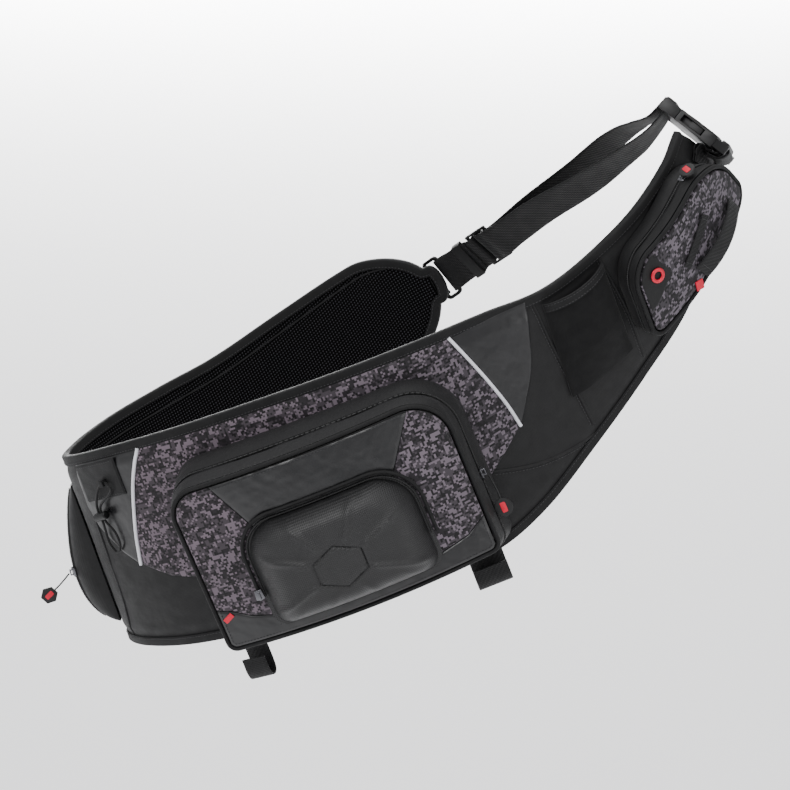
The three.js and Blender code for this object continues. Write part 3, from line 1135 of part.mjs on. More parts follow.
// Frame on the main pocket's right side wall: x up the wall, z out of it
function gussetSpot(share, height, lift) {
  const root = P(MAIN_ROOT.left + MAIN_ROOT.width, 0, height);
  root.y = bandDepth(root.x, root.z, ROOT_OUT);
  const face = P(MAIN_LEFT + MAIN_WIDTH, mainDepth(MAIN_LEFT + MAIN_WIDTH) + GUSSET_END, height);
  const travel = face.clone().sub(root).normalize();
  const normal = travel.clone().cross(P(0, 0, 1)).normalize();
  if (normal.x < 0) normal.negate();
  return frameMatrix(root.lerp(face, share).addScaledVector(normal, lift), P(0, 0, 1),
    normal.clone().cross(P(0, 0, 1)), normal);
}
const originOf = (matrix) => new THREE.Vector3().setFromMatrixPosition(matrix);
const MAIN_ZIP = (ZIP_FROM + ZIP_TO) / 2;
const MAIN_ZIP_UP = -28;
zipSlider('main_zip_slider', gussetSpot(MAIN_ZIP, MAIN_ZIP_UP, 0.4));
const mainPull = originOf(gussetSpot(MAIN_ZIP, MAIN_ZIP_UP - 4, 7));
puller('main_zip_puller', mainPull, mainPull.clone().add(P(2, -4, -34)), 9, 12);

// Frame on the hip pocket: x up its zip, z out of its surface
function hipMatrix(side, up, lift) {
  const { point, normal, along } = hipSurface(side, up);
  const x = along.clone().addScaledVector(normal, -along.dot(normal)).normalize();
  return frameMatrix(point.addScaledVector(normal, lift), x, normal.clone().cross(x), normal);
}
const HIP_ZIP_UP = 0.39;
zipSlider('hip_zip_slider', hipMatrix(HIP_ZIP, HIP_ZIP_UP, 0.4));
const hipPull = originOf(hipMatrix(HIP_ZIP, HIP_ZIP_UP, 6.3));
puller('hip_zip_puller', hipPull, hipPull.clone().add(P(-27, -7, -12)), 9, 6);

const SHOULDER_ZIP_REACH = SHOULDER_LEFT + 114;
const shoulderZipSpot = (lift) => {
  const frame = station(atReach(SHOULDER_ZIP_REACH));
  const across = outlineLine(SHOULDER, 0, 1)(SHOULDER_ZIP_REACH) + lift;
  return frameMatrix(onStation(frame, across, SHOULDER_OUT * 0.56), frame.across.clone().cross(frame.outward),
    frame.outward.clone().negate(), frame.across);
};
zipSlider('shoulder_zip_slider', shoulderZipSpot(-1.2));
add('shoulder_zip_puller', washer(8, 2.6, 3.6, 12), acetal(), shoulderZipSpot(6.6)
  .multiply(new THREE.Matrix4().makeTranslation(4, -6, 0)));

const MOULD_ZIP_UP = MOULD.low + 38;
const mouldZipSpot = P(MOULD.left - 3.4, mainDepth(MOULD.left - 3.4) - COVER - 3.4 - 2.3, MOULD_ZIP_UP);
zipSlider('moulded_zip_slider', frameMatrix(mouldZipSpot, P(0, 0, -1), P(1, 0, 0), P(0, -1, 0)));

// Small label tags, left bare
add('label_tag_shoulder', block(-4.5, 4.5, -5, 5, 0, 1.4), accent(),
  bandMatrix(699, -24, SHOULDER_OUT + SKIN_STEP, -12));
const tagSpot = P(MAIN_LEFT + 14, mainDepth(MAIN_LEFT + 14) + SKIN_OUT - COVER - 1.6, MAIN_LOW + 36);
add('label_tag_face', block(-5, 5, -2.6, 2.6, 0, 1.4), accent(),
  frameMatrix(tagSpot, P(1, 0, 0.5).normalize(), P(-0.5, 0, 1).normalize(), P(0, -1, 0)));

// The part's origin is where the loop sits on the shoulder: the inner side of the band's shoulder end.
const seat = place(FRONT_LENGTH, 0, -PANEL / 2);
const worn = new THREE.Group();
bag.position.copy(seat).negate();
worn.add(bag);
worn.rotation.y = -LOOP_TILT;
const slingBag = new THREE.Group();
slingBag.add(worn);

export default slingBag;
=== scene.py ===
"""Looks of a fishing tackle sling bag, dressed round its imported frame.

A surface is a function of two parameters, worked out on a numpy grid in millimetres of the bag's
own axes: x along the bag from the hip, y away from its front, z across it. One function turns the
points to metres in the frame's axes, so every piece lands where its solid is.
"""
import logging
from dataclasses import dataclass, field
from enum import Enum

import bmesh
import bpy
import numpy as np
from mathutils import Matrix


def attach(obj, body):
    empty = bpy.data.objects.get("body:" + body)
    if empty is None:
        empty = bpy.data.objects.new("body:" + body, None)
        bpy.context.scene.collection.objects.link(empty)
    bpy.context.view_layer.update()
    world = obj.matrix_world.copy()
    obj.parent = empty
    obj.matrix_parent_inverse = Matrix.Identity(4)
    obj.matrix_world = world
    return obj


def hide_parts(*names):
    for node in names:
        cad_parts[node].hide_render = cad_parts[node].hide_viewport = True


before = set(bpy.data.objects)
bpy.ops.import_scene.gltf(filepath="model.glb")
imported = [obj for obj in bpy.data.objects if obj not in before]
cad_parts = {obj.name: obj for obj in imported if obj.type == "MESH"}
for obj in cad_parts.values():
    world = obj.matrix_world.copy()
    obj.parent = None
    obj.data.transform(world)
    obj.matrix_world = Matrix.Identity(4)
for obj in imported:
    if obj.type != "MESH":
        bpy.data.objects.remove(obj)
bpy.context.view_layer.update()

LOG = logging.getLogger("sling_bag")
TAU = 2.0 * np.pi
MM = 0.001
# Millimetres
TOOTH_PITCH = 1.9
WEBBING_GAUGE = 1.6
Array = np.ndarray


class Side(Enum):
    """The two long sides of the band, as the sign of the way across it."""

    UPPER = 1.0
    LOWER = -1.0


class Pattern(Enum):
    """Relief that a cloth shows close up."""

    PLAIN_WEAVE = "plain"
    RIBBED = "ribbed"
    WEBBING = "webbing"
    COATED = "coated"


# Colours, sRGB
INK = "#0e0e0f"
INK_LIGHT = "#151516"
COATED_GREY = "#0e0e10"
CAMO_DARK = "#1c191d"
CAMO_MIDDLE = "#3a363b"
CAMO_LIGHT = "#645d65"
TAPE_BLACK = "#0e0e0f"
PLASTIC_BLACK = "#0b0b0c"
SHELL_GREY = "#101011"
REFLECTOR_GREY = "#dcdce2"
ACCENT_RED = "#d0042e"
THREAD_BLACK = "#2a2a2c"
STEEL_GREY = "#6c6c70"


def linear(hex_colour: str) -> tuple[float, float, float, float]:
    """Turns an sRGB hex colour to linear light.

    Args:
        hex_colour: six hex digits after a hash.

    Returns:
        Red, green, blue and an alpha of one.
    """
    share = np.array([int(hex_colour[i:i + 2], 16) / 255.0 for i in (1, 3, 5)])
    value = np.where(share <= 0.04045, share / 12.92, ((share + 0.055) / 1.055) ** 2.4)
    return (*value.tolist(), 1.0)


# Smooth courses
def ramp(value: Array, low: float, high: float) -> Array:
    """A smooth step from 0 at low to 1 at high: 3t² - 2t³ of the clipped share t."""
    share = np.clip((np.asarray(value, float) - low) / (high - low), 0.0, 1.0)
    return share * share * (3.0 - 2.0 * share)


def unit(vectors: Array) -> Array:
    """Each vector divided by its length."""
    return vectors / np.maximum(np.linalg.norm(vectors, axis=-1, keepdims=True), 1e-12)


def lengths(points: Array) -> Array:
    """The length of a line from its first point to each of its points."""
    return np.concatenate([[0.0], np.cumsum(np.linalg.norm(np.diff(points, axis=0), axis=1))])


def dome(count: tuple[int, int], power: float) -> Array:
    """The product of two rounded sines over a grid: 0 on its rim and 1 in its middle."""
    i, j = np.meshgrid(np.linspace(0, 1, count[0]), np.linspace(0, 1, count[1]), indexing="ij")
    return np.sin(np.pi * i) ** power * np.sin(np.pi * j) ** power


@dataclass(frozen=True)
class Course:
    """Values along a path, as rows of a table with a smooth cubic through them.

    The cubic's tangent at a row is the mean of the slopes on both sides of it, each weighted with
    the length of the other side.
    """

    names: tuple[str, ...]
    rows: tuple[tuple[float, ...], ...]

    def ease(self, name: str, at: Array) -> Array:
        """The smooth value of a column.

        Args:
            name: the column.
            at: places along the path.

        Returns:
            One value for each place.
        """
        table = np.array(self.rows)
        knots = table[:, 0]
        values = table[:, self.names.index(name)]
        at = np.asarray(at, float)
        gaps = np.diff(knots)
        slopes = np.diff(values) / gaps
        inner = (gaps[:-1] * slopes[1:] + gaps[1:] * slopes[:-1]) / (gaps[:-1] + gaps[1:])
        tangents = np.concatenate([slopes[:1], inner, slopes[-1:]])
        k = np.clip(np.searchsorted(knots, at, side="left") - 1, 0, len(gaps) - 1)
        span = gaps[k]
        t = (at - knots[k]) / span
        c = np.clip(t, 0.0, 1.0)
        a, b = values[k], values[k + 1]
        ta, tb = tangents[k] * span, tangents[k + 1] * span
        u, v = c * c, c * c * c
        curve = (2 * v - 3 * u + 1) * a + (v - 2 * u + c) * ta + (3 * u - 2 * v) * b + (v - u) * tb
        return curve + np.where(t < 0, ta * t, 0.0) + np.where(t > 1, tb * (t - 1), 0.0)


BAND_COURSE = Course(
    ("at", "along", "rise", "depth", "height", "tilt", "lean"),
    (
        (-1.00, 0.595, 0.665, 0.410, 0.525, 5.0, 0.0), (-0.93, 0.530, 0.605, 0.455, 0.550, 7.5, 0.0),
        (-0.84, 0.460, 0.470, 0.475, 0.665, 4.5, 0.0), (-0.70, 0.355, 0.290, 0.480, 0.775, 3.5, 0.0),
        (-0.52, 0.240, 0.135, 0.450, 0.845, 2.0, 0.0), (-0.34, 0.145, 0.055, 0.380, 0.915, -0.5, 0.0),
        (-0.20, 0.065, 0.025, 0.255, 0.930, -2.0, 0.0), (-0.09, 0.015, 0.010, 0.105, 0.925, -3.5, 0.0),
        (0.00, 0.000, 0.005, -0.035, 0.915, -4.0, 0.0), (0.05, 0.020, 0.010, -0.140, 0.935, -4.0, 0.0),
        (0.13, 0.085, 0.015, -0.310, 0.970, -2.5, 0.0), (0.23, 0.190, 0.005, -0.435, 0.990, -1.5, 0.0),
        (0.33, 0.305, -0.010, -0.495, 1.005, -0.5, 0.0), (0.44, 0.435, -0.020, -0.520, 1.005, 0.0, 0.5),
        (0.54, 0.545, -0.025, -0.505, 1.005, -1.5, 1.0), (0.63, 0.640, 0.035, -0.460, 0.920, -4.0, 3.0),
        (0.71, 0.725, 0.135, -0.400, 0.760, -3.5, 6.0), (0.80, 0.820, 0.315, -0.315, 0.660, -1.5, 12.5),
        (0.88, 0.905, 0.530, -0.230, 0.590, 4.0, 21.0), (0.94, 0.965, 0.770, -0.150, 0.505, 12.5, 31.0),
        (1.00, 1.000, 1.015, -0.065, 0.415, 26.5, 47.5),
    ),
)
STRAP_COURSE = Course(
    ("at", "along", "depth", "rise", "arch", "tilt", "lean"),
    (
        (0.00, 0.603, 0.436, 0.680, 0.00, 5.0, 3.0), (0.09, 0.634, 0.395, 0.725, 0.00, 6.0, 12.0),
        (0.22, 0.681, 0.325, 0.790, 0.00, 7.0, 22.0), (0.45, 0.764, 0.211, 0.920, 0.42, 7.0, 31.0),
        (0.66, 0.844, 0.115, 1.010, 0.88, 8.0, 40.0), (0.80, 0.895, 0.049, 1.092, 1.00, 8.0, 49.0),
        (0.90, 0.933, 0.012, 1.152, 0.84, 9.0, 56.0), (1.00, 0.967, 0.000, 1.232, 0.30, 9.0, 64.0),
    ),
)


def leaning(tilt: Array, lean: Array) -> Array:
    """The way across, turned from up by tilt in the front's plane and by lean towards the viewer."""
    tilt, lean = np.radians(tilt), np.radians(lean)
    return np.stack([-np.sin(tilt) * np.cos(lean), -np.sin(lean), np.cos(tilt) * np.cos(lean)], -1)


@dataclass
class Band:
    """The padded band's place in space. All lengths are millimetres."""

    loop_length: float = 703.0
    loop_depth: float = 246.0
    shoulder_rise: float = 158.0
    height: float = 222.0
    loop_tilt: float = 22.0
    panel: float = 8.0
    nose: float = 60.0
    tip: float = -0.985
    reaches: Array = field(init=False)
    front_length: float = field(init=False)
    wing_length: float = field(init=False)
    seat: Array = field(init=False)

    def __post_init__(self) -> None:
        """Measures the front and the wing, and finds the seat on the shoulder."""
        line = self.centre(np.linspace(0.0, 1.0, 601))
        self.reaches = lengths(line)
        self.front_length = float(self.reaches[-1])
        wing = self.centre(np.linspace(0.0, -1.0, 301))
        self.wing_length = float(np.linalg.norm(np.diff(wing, axis=0), axis=1).sum())
        self.seat = self.place(self.front_length, 0.0, -self.panel / 2)

    def point(self, course: Course, at: Array) -> Array:
        """The point of a course at a place along it."""
        return np.stack([
            course.ease("along", at) * self.loop_length,
            course.ease("depth", at) * self.loop_depth,
            course.ease("rise", at) * self.shoulder_rise,
        ], -1)

    def centre(self, at: Array) -> Array:
        """The band's middle line."""
        return self.point(BAND_COURSE, at)

    def station(self, at: Array) -> tuple[Array, Array, Array]:
        """The band's middle, the way across it and its outward normal.

        The normal is the travel direction crossed with the way across.
        """
        at = np.asarray(at, float)
        across = leaning(BAND_COURSE.ease("tilt", at), BAND_COURSE.ease("lean", at))
        travel = self.centre(at + 1e-3) - self.centre(at - 1e-3)
        return self.centre(at), across, unit(np.cross(travel, across))

    def at(self, reach: Array) -> Array:
        """The place along the course of a length from the hip, negative on the wing."""
        reach = np.asarray(reach, float)
        front = np.interp(reach, self.reaches, np.linspace(0.0, 1.0, 601))
        return np.where(reach < 0, reach / self.wing_length, front)

    def on(self, at: Array, across: Array, out: Array) -> Array:
        """The point at a place of the course, a length across and a length out of the band."""
        middle, way, outward = self.station(at)
        across, out = np.asarray(across, float), np.asarray(out, float)
        return middle + way * across[..., None] + outward * out[..., None]

    def place(self, reach: Array, across: Array, out: Array) -> Array:
        """The point at a length along, a length across and a length out of the band."""
        return self.on(self.at(reach), across, out)

    def nose_share(self, at: Array) -> Array:
        """How far the round nose of the wing lets its height grow."""
        inside = np.minimum(1.0, (np.asarray(at) - self.tip) * self.wing_length / self.nose)
        return np.maximum(0.34, np.sqrt(np.maximum(0.0, 1.0 - (1.0 - inside) ** 2)))

    def half(self, at: Array) -> Array:
        """Half the band's height."""
        at = np.asarray(at, float)
        half = BAND_COURSE.ease("height", at) * self.height / 2
        return np.where(at < 0, half * self.nose_share(at), half)

    def depth_at(self, x: Array, z: Array, out: float) -> Array:
        """Depth of the band's outer side at a place of the front, found by halving an interval."""
        x, z = np.broadcast_arrays(np.asarray(x, float), np.asarray(z, float))
        near, far = np.full(x.shape, -0.02), np.full(x.shape, 0.95)

        def probe(at: Array) -> Array:
            """The point of the band at a share of its length that has the wanted z."""
            middle, way, outward = self.station(at)
            across = (z - middle[..., 2] - outward[..., 2] * out) / way[..., 2]
            return self.on(at, across, np.full(x.shape, out))

        for _ in range(36):
            middle = (near + far) / 2
            before = probe(middle)[..., 0] < x
            near, far = np.where(before, middle, near), np.where(before, far, middle)
        return probe((near + far) / 2)[..., 1]

    def to_frame(self, points: Array) -> Array:
        """Millimetres of the bag's axes turned to metres of the frame's axes."""
        p = np.asarray(points, float) - self.seat
        c, s = np.cos(np.radians(self.loop_tilt)), np.sin(np.radians(self.loop_tilt))
        return np.stack([p[..., 0] * c - p[..., 2] * s, p[..., 1], p[..., 0] * s + p[..., 2] * c], -1) * MM

    def from_frame(self, points: Array) -> Array:
        """Metres of the frame's axes turned back to millimetres of the bag's axes."""
        p = np.asarray(points, float) / MM
        c, s = np.cos(np.radians(self.loop_tilt)), np.sin(np.radians(self.loop_tilt))
        turned = np.stack([p[..., 0] * c + p[..., 2] * s, p[..., 1], p[..., 2] * c - p[..., 0] * s], -1)
        return turned + self.seat


BAND = Band()


# Relief
def ripple(u: Array, v: Array, wave: float, amount: float, seed: int, crease: bool = False) -> Array:
    """Low folds: a sum of eight plane waves with seeded directions, lengths and phases.

    Args:
        u: first surface coordinate, mm.
        v: second surface coordinate, mm.
        wave: mean wavelength, mm.
        amount: height, mm.
        seed: seed of the random numbers.
        crease: whether the waves have sharp ridges.

    Returns:
        Height at each point.
    """
    rng = np.random.default_rng(seed)
    total = np.zeros(np.broadcast(u, v).shape)
    for _ in range(8):
        angle = rng.uniform(0, TAU)
        number = TAU / (wave * rng.uniform(0.55, 1.6))
        wavy = np.sin(number * (u * np.cos(angle) + v * np.sin(angle)) + rng.uniform(0, TAU))
        total += 1.0 - 2.0 * np.abs(wavy) if crease else wavy
    return total * amount / 4.0


def rounded(left: float, low: float, width: float, height: float, radii: tuple[float, ...],
            inset: float = 0.0, corner: int = 8, side: int = 16) -> Array:
    """The outline of a box with round corners.

    Each corner is a quarter circle about the corner's centre, and each side a straight run.

    Args:
        left: lowest first coordinate.
        low: lowest second coordinate.
        width: size along the first.
        height: size along the second.
        radii: corner radii from the low left one by the low right one.
        inset: how far the outline is moved in.
        corner: steps in a corner.
        side: steps in a side.

    Returns:
        Closed outline, its first point not repeated.
    """
    right, high = left + width, low + height
    marks = ((left, low, 1, 1), (right, low, -1, 1), (right, high, -1, -1), (left, high, 1, -1))
    arcs = []
    for k, (x, z, sx, sz) in enumerate(marks):
        radius = max(radii[k] - inset, 0.8)
        angle = np.pi + (k + np.linspace(0, 1, corner + 1)) * np.pi / 2
        arcs.append(np.stack([x + sx * (radius + inset) + radius * np.cos(angle),
                              z + sz * (radius + inset) + radius * np.sin(angle)], -1))
    parts = []
    for k, arc in enumerate(arcs):
        after = arcs[(k + 1) % 4][0]
        share = np.linspace(0, 1, side + 1)[1:-1, None]
        parts += [arc, arc[-1] + (after - arc[-1]) * share]
    return np.concatenate(parts)


def outline_line(left: float, low: float, width: float, height: float, radii: tuple[float, ...],
                 inset: float, side: float, x: Array) -> Array:
    """The low (side -1) or high (side 1) line of such an outline at x."""
    low_left, low_right, high_right, high_left = radii
    near_left, near_right = (high_left, high_right) if side > 0 else (low_left, low_right)
    edge = low + height - inset if side > 0 else low + inset

    def drop(distance: Array, radius: float) -> Array:
        """How far a round corner falls below the edge, at a distance from the corner's end."""
        r = max(radius - inset, 0.8)
        short = np.maximum(0.0, r - np.maximum(0.0, distance))
        return r - np.sqrt(np.maximum(0.0, r * r - short * short))

    dropped = np.maximum(drop(x - left - inset, near_left), drop(left + width - inset - x, near_right))
    return edge - side * dropped


def resample(points: Array, count: int, closed: bool = False) -> Array:
    """Points at equal lengths along a smooth line through the given ones.

    The line is the cubic through the points with the chord length as its parameter.

    Args:
        points: the given points.
        count: how many points to return.
        closed: whether the line returns to its start.

    Returns:
        The new points; a closed line repeats its first point at the end.
    """
    p = np.asarray(points, float)
    if closed:
        p = np.concatenate([p[-3:], p, p[:4]])
    chord = np.concatenate([[0.0], np.cumsum(np.maximum(np.linalg.norm(np.diff(p, axis=0), axis=1), 1e-6))])
    rows = np.concatenate([chord[:, None], p], axis=1)
    names = ("at",) + tuple(str(i) for i in range(p.shape[1]))
    course = Course(names, tuple(map(tuple, rows)))
    fine = np.linspace(chord[3] if closed else 0.0, chord[-4] if closed else chord[-1], 12 * count)
    line = np.stack([course.ease(name, fine) for name in names[1:]], -1)
    length = lengths(line)
    even = np.linspace(0, length[-1], count)
    return np.stack([np.interp(even, length, line[:, i]) for i in range(p.shape[1])], -1)


# Meshes
def quads(rows: int, columns: int, start: int = 0) -> Array:
    """Corner numbers of the cells of a grid."""
    first = start + np.arange(rows - 1)[:, None] * columns + np.arange(columns - 1)[None, :]
    return np.stack([first, first + 1, first + 1 + columns, first + columns], -1).reshape(-1, 4)


def grid_uv(grid: Array) -> Array:
    """Lengths along a grid's rows and columns, as its pattern coordinates in mm."""
    along = np.linalg.norm(np.diff(grid, axis=0), axis=-1).mean(axis=1)
    over = np.linalg.norm(np.diff(grid, axis=1), axis=-1).mean(axis=0)
    u = np.concatenate([[0.0], np.cumsum(along)])
    v = np.concatenate([[0.0], np.cumsum(over)])
    return np.stack(np.meshgrid(u, v, indexing="ij"), -1)


def make(name: str, points: Array, faces: Array, uv: Array, sharp: float = 42.0) -> bpy.types.Object:
    """Makes a closed mesh object from points in mm.

    Doubled points are merged, and the faces are turned out if the enclosed volume is negative.

    Args:
        name: name of the piece.
        points: corners in the bag's axes, mm.
        faces: four corner numbers to a face. A triangle repeats its third one.
        uv: pattern coordinates of the corners, mm.
        sharp: angle in degrees above which an edge stays sharp.

    Returns:
        The new object.
    """
    faces = np.asarray(faces)
    three = faces[:, 3] == faces[:, 2]
    mesh = bpy.data.meshes.new(name)
    corners = faces[~three].tolist() + faces[three][:, :3].tolist()
    mesh.from_pydata(BAND.to_frame(points).tolist(), [], corners)
    layer = mesh.uv_layers.new(name="Cloth")
    corner = np.empty(len(mesh.loops), np.int32)
    mesh.loops.foreach_get("vertex_index", corner)
    spread = np.asarray(uv, float).reshape(-1, 2)[corner] * MM
    layer.data.foreach_set("uv", spread.astype(np.float32).ravel())
    work = bmesh.new()
    work.from_mesh(mesh)
    bmesh.ops.remove_doubles(work, verts=work.verts, dist=2e-6)
    if work.calc_volume(signed=True) < 0:
        bmesh.ops.reverse_faces(work, faces=work.faces)
    work.to_mesh(mesh)
    work.free()
    mesh.validate()
    mesh.shade_smooth()
    mesh.set_sharp_from_angle(angle=np.radians(sharp))
    piece = bpy.data.objects.new(name, mesh)
    bpy.context.scene.collection.objects.link(piece)
    return piece


def wall(name: str, front: Array, back: Array, uv: Array | None = None, ring: bool = False,
         sharp: float = 42.0) -> bpy.types.Object:
    """A closed body between two matching grids, with rims round its sides.

    Args:
        name: name of the piece.
        front: outer grid, mm.
        back: inner grid, mm.
        uv: pattern coordinates of the grid, or None for lengths along it.
        ring: whether the last row lies on the first.
        sharp: angle above which an edge stays sharp.

    Returns:
        The new object.
    """
    rows, columns = front.shape[:2]
    count = rows * columns
    uv = grid_uv(front) if uv is None else uv
    row, column = np.arange(rows - 1) * columns, np.arange(columns - 1)
    last = (rows - 1) * columns
    faces = [quads(rows, columns), quads(rows, columns, count)[:, ::-1]]
    faces.append(np.stack([row + columns, row, row + count, row + columns + count], -1))
    end = row + columns - 1
    faces.append(np.stack([end, end + columns, end + columns + count, end + count], -1))
    if not ring:
        faces.append(np.stack([column, column + 1, column + 1 + count, column + count], -1)[:, ::-1])
        faces.append(np.stack([last + column, last + column + 1, last + column + 1 + count,
                               last + column + count], -1))
    points = np.concatenate([front.reshape(-1, 3), back.reshape(-1, 3)])
    return make(name, points, np.concatenate(faces), np.concatenate([uv.reshape(-1, 2)] * 2), sharp)


def sweep(name: str, path: Array, profile: Array, up: Array, closed: bool = False,
          scale: Array | None = None, sharp: float = 42.0) -> bpy.types.Object:
    """Carries a closed profile along a path.

    The profile's first coordinate runs along travel × up, its second along up made square to travel.

    Args:
        name: name of the piece.
        path: points of the path, mm; a closed one repeats its first point.
        profile: closed outline, its first point not repeated, mm.
        up: one direction or one for each point.
        closed: whether the path returns to its start.
        scale: size of the profile at each point.
        sharp: angle above which an edge stays sharp.

    Returns:
        The new object.
    """
    travel = np.gradient(path, axis=0)
    if closed:
        travel[0] = travel[-1] = path[1] - path[-2]
    travel = unit(travel)
    up = np.broadcast_to(np.asarray(up, float), path.shape)
    up = unit(up - travel * np.sum(up * travel, -1, keepdims=True))
    side = np.cross(travel, up)
    loop = np.concatenate([profile, profile[:1]])
    size = np.ones(len(path)) if scale is None else np.asarray(scale, float)
    grid = path[:, None] + (side[:, None] * loop[None, :, :1] + up[:, None] * loop[None, :, 1:]) \
        * size[:, None, None]
    length = lengths(path)
    round_it = lengths(loop)
    uv = np.stack(np.meshgrid(length, round_it, indexing="ij"), -1)
    points, marks = grid.reshape(-1, 3), uv.reshape(-1, 2)
    faces = quads(*grid.shape[:2])
    if closed:
        return make(name, points, faces, marks, sharp)
    columns = grid.shape[1]
    ends = np.stack([grid[0, :-1].mean(0), grid[-1, :-1].mean(0)])
    base = len(points)
    k = np.arange(columns - 1)
    tail = base - columns + k
    first, last = np.full(columns - 1, base), np.full(columns - 1, base + 1)
    faces = np.concatenate([faces, np.stack([k + 1, k, first, first], -1),
                            np.stack([tail, tail + 1, last, last], -1)])
    marks = np.concatenate([marks, marks[:1], marks[-1:]])
    return make(name, np.concatenate([points, ends]), faces, marks, sharp)


def circle(radius: float, sides: int = 12, flat: float = 1.0) -> Array:
    """A round or, with flat below 1, an oval profile."""
    angle = np.linspace(0, TAU, sides, endpoint=False)
    return np.stack([radius * np.cos(angle), flat * radius * np.sin(angle)], -1)


def zip_teeth(name: str, path: Array, radius: float, up: Array, swell: float,
              closed: bool = False) -> bpy.types.Object:
    """Zip teeth: a thin six-sided tube whose radius swells by a sine, once for each tooth."""
    size = 1.0 + swell * np.sin(lengths(path) / TOOTH_PITCH * TAU)
    return sweep(name, path, circle(radius, 6), up, closed, size, 70.0)


def strip_profile(width: float, gauge: float) -> Array:
    """The cut through a flat tape: a rectangle with round edges."""
    angle = np.linspace(-np.pi / 2, np.pi / 2, 5)
    bulge = np.stack([np.cos(angle), np.sin(angle)], -1) * gauge / 2
    right = bulge + [width / 2 - gauge / 2, 0.0]
    rows = np.linspace(1, -1, 9)[1:-1] * (width / 2 - gauge / 2)
    top = np.stack([rows, np.full(7, gauge / 2)], -1)
    return np.concatenate([right, top, -right, -top])


def ribbon(name: str, points: Array, across: Array, width: float, gauge: float,
           count: int = 160) -> bpy.types.Object:
    """Webbing along a smooth line, with the way across it given at each point."""
    both = resample(np.concatenate([points, unit(across) * 4.0], axis=1), count)
    path, way = both[:, :3], unit(both[:, 3:])
    travel = unit(np.gradient(path, axis=0))
    normal = np.cross(travel, unit(way - travel * np.sum(way * travel, -1, keepdims=True)))
    return sweep(name, path, strip_profile(width, gauge), normal)


def stitches(name: str, path: Array, up: Array, pitch: float = 3.4, length: float = 2.4,
             radius: float = 0.32) -> bpy.types.Object:
    """A row of sewn stitches, each a small closed capsule of four sides, end to end on a line.

    Args:
        name: name of the piece.
        path: the seam's line on the surface, mm.
        up: the surface's outward direction at each point.
        pitch: distance from stitch to stitch.
        length: length of a stitch.
        radius: the thread's radius.

    Returns:
        One object with all the stitches.
    """
    step = lengths(path)
    starts = np.arange(pitch / 2, step[-1] - length, pitch)
    up = np.broadcast_to(np.asarray(up, float), path.shape)
    along = starts[:, None] + np.array([0.0, 0.15, 0.85, 1.0]) * length
    line = np.stack([np.interp(along, step, path[:, i]) for i in range(3)], -1)
    out = unit(np.stack([np.interp(along, step, up[:, i]) for i in range(3)], -1))
    travel = unit(line[:, -1:] - line[:, :1])
    side = np.cross(np.broadcast_to(travel, out.shape), out)
    angle = np.linspace(0, TAU, 5)
    wide = np.array([0.15, 1.0, 1.0, 0.15])[None, :, None, None] * radius
    sink = np.array([-0.5, 0.25, 0.25, -0.5])[None, :, None, None] * radius
    ring = line[:, :, None] + side[:, :, None] * np.cos(angle)[None, None, :, None] * wide \
        + out[:, :, None] * (np.sin(angle)[None, None, :, None] * wide + sink)
    count, rows, columns = ring.shape[:3]
    one = np.concatenate([quads(rows, columns), [[3, 2, 1, 0], [15, 16, 17, 18]]])
    faces = (one[None] + (np.arange(count) * rows * columns)[:, None, None]).reshape(-1, 4)
    points = ring.reshape(-1, 3)
    return make(name, points, faces, np.zeros((len(points), 2)), 80.0)


# Finishes
def node(tree: bpy.types.NodeTree, kind: str, links: dict | None = None, values: dict | None = None,
         **settings: object) -> bpy.types.Node:
    """Adds one node with its settings and links.

    Args:
        tree: the node tree.
        kind: the node's type without its ShaderNode prefix.
        links: input name or number to the output that feeds it.
        values: input name or number to its constant.
        settings: the node's own properties.

    Returns:
        The new node.
    """
    made = tree.nodes.new("ShaderNode" + kind)
    for key, value in settings.items():
        setattr(made, key, value)
    for key, value in (values or {}).items():
        made.inputs[key].default_value = value
    for key, socket in (links or {}).items():
        tree.links.new(socket, made.inputs[key])
    return made


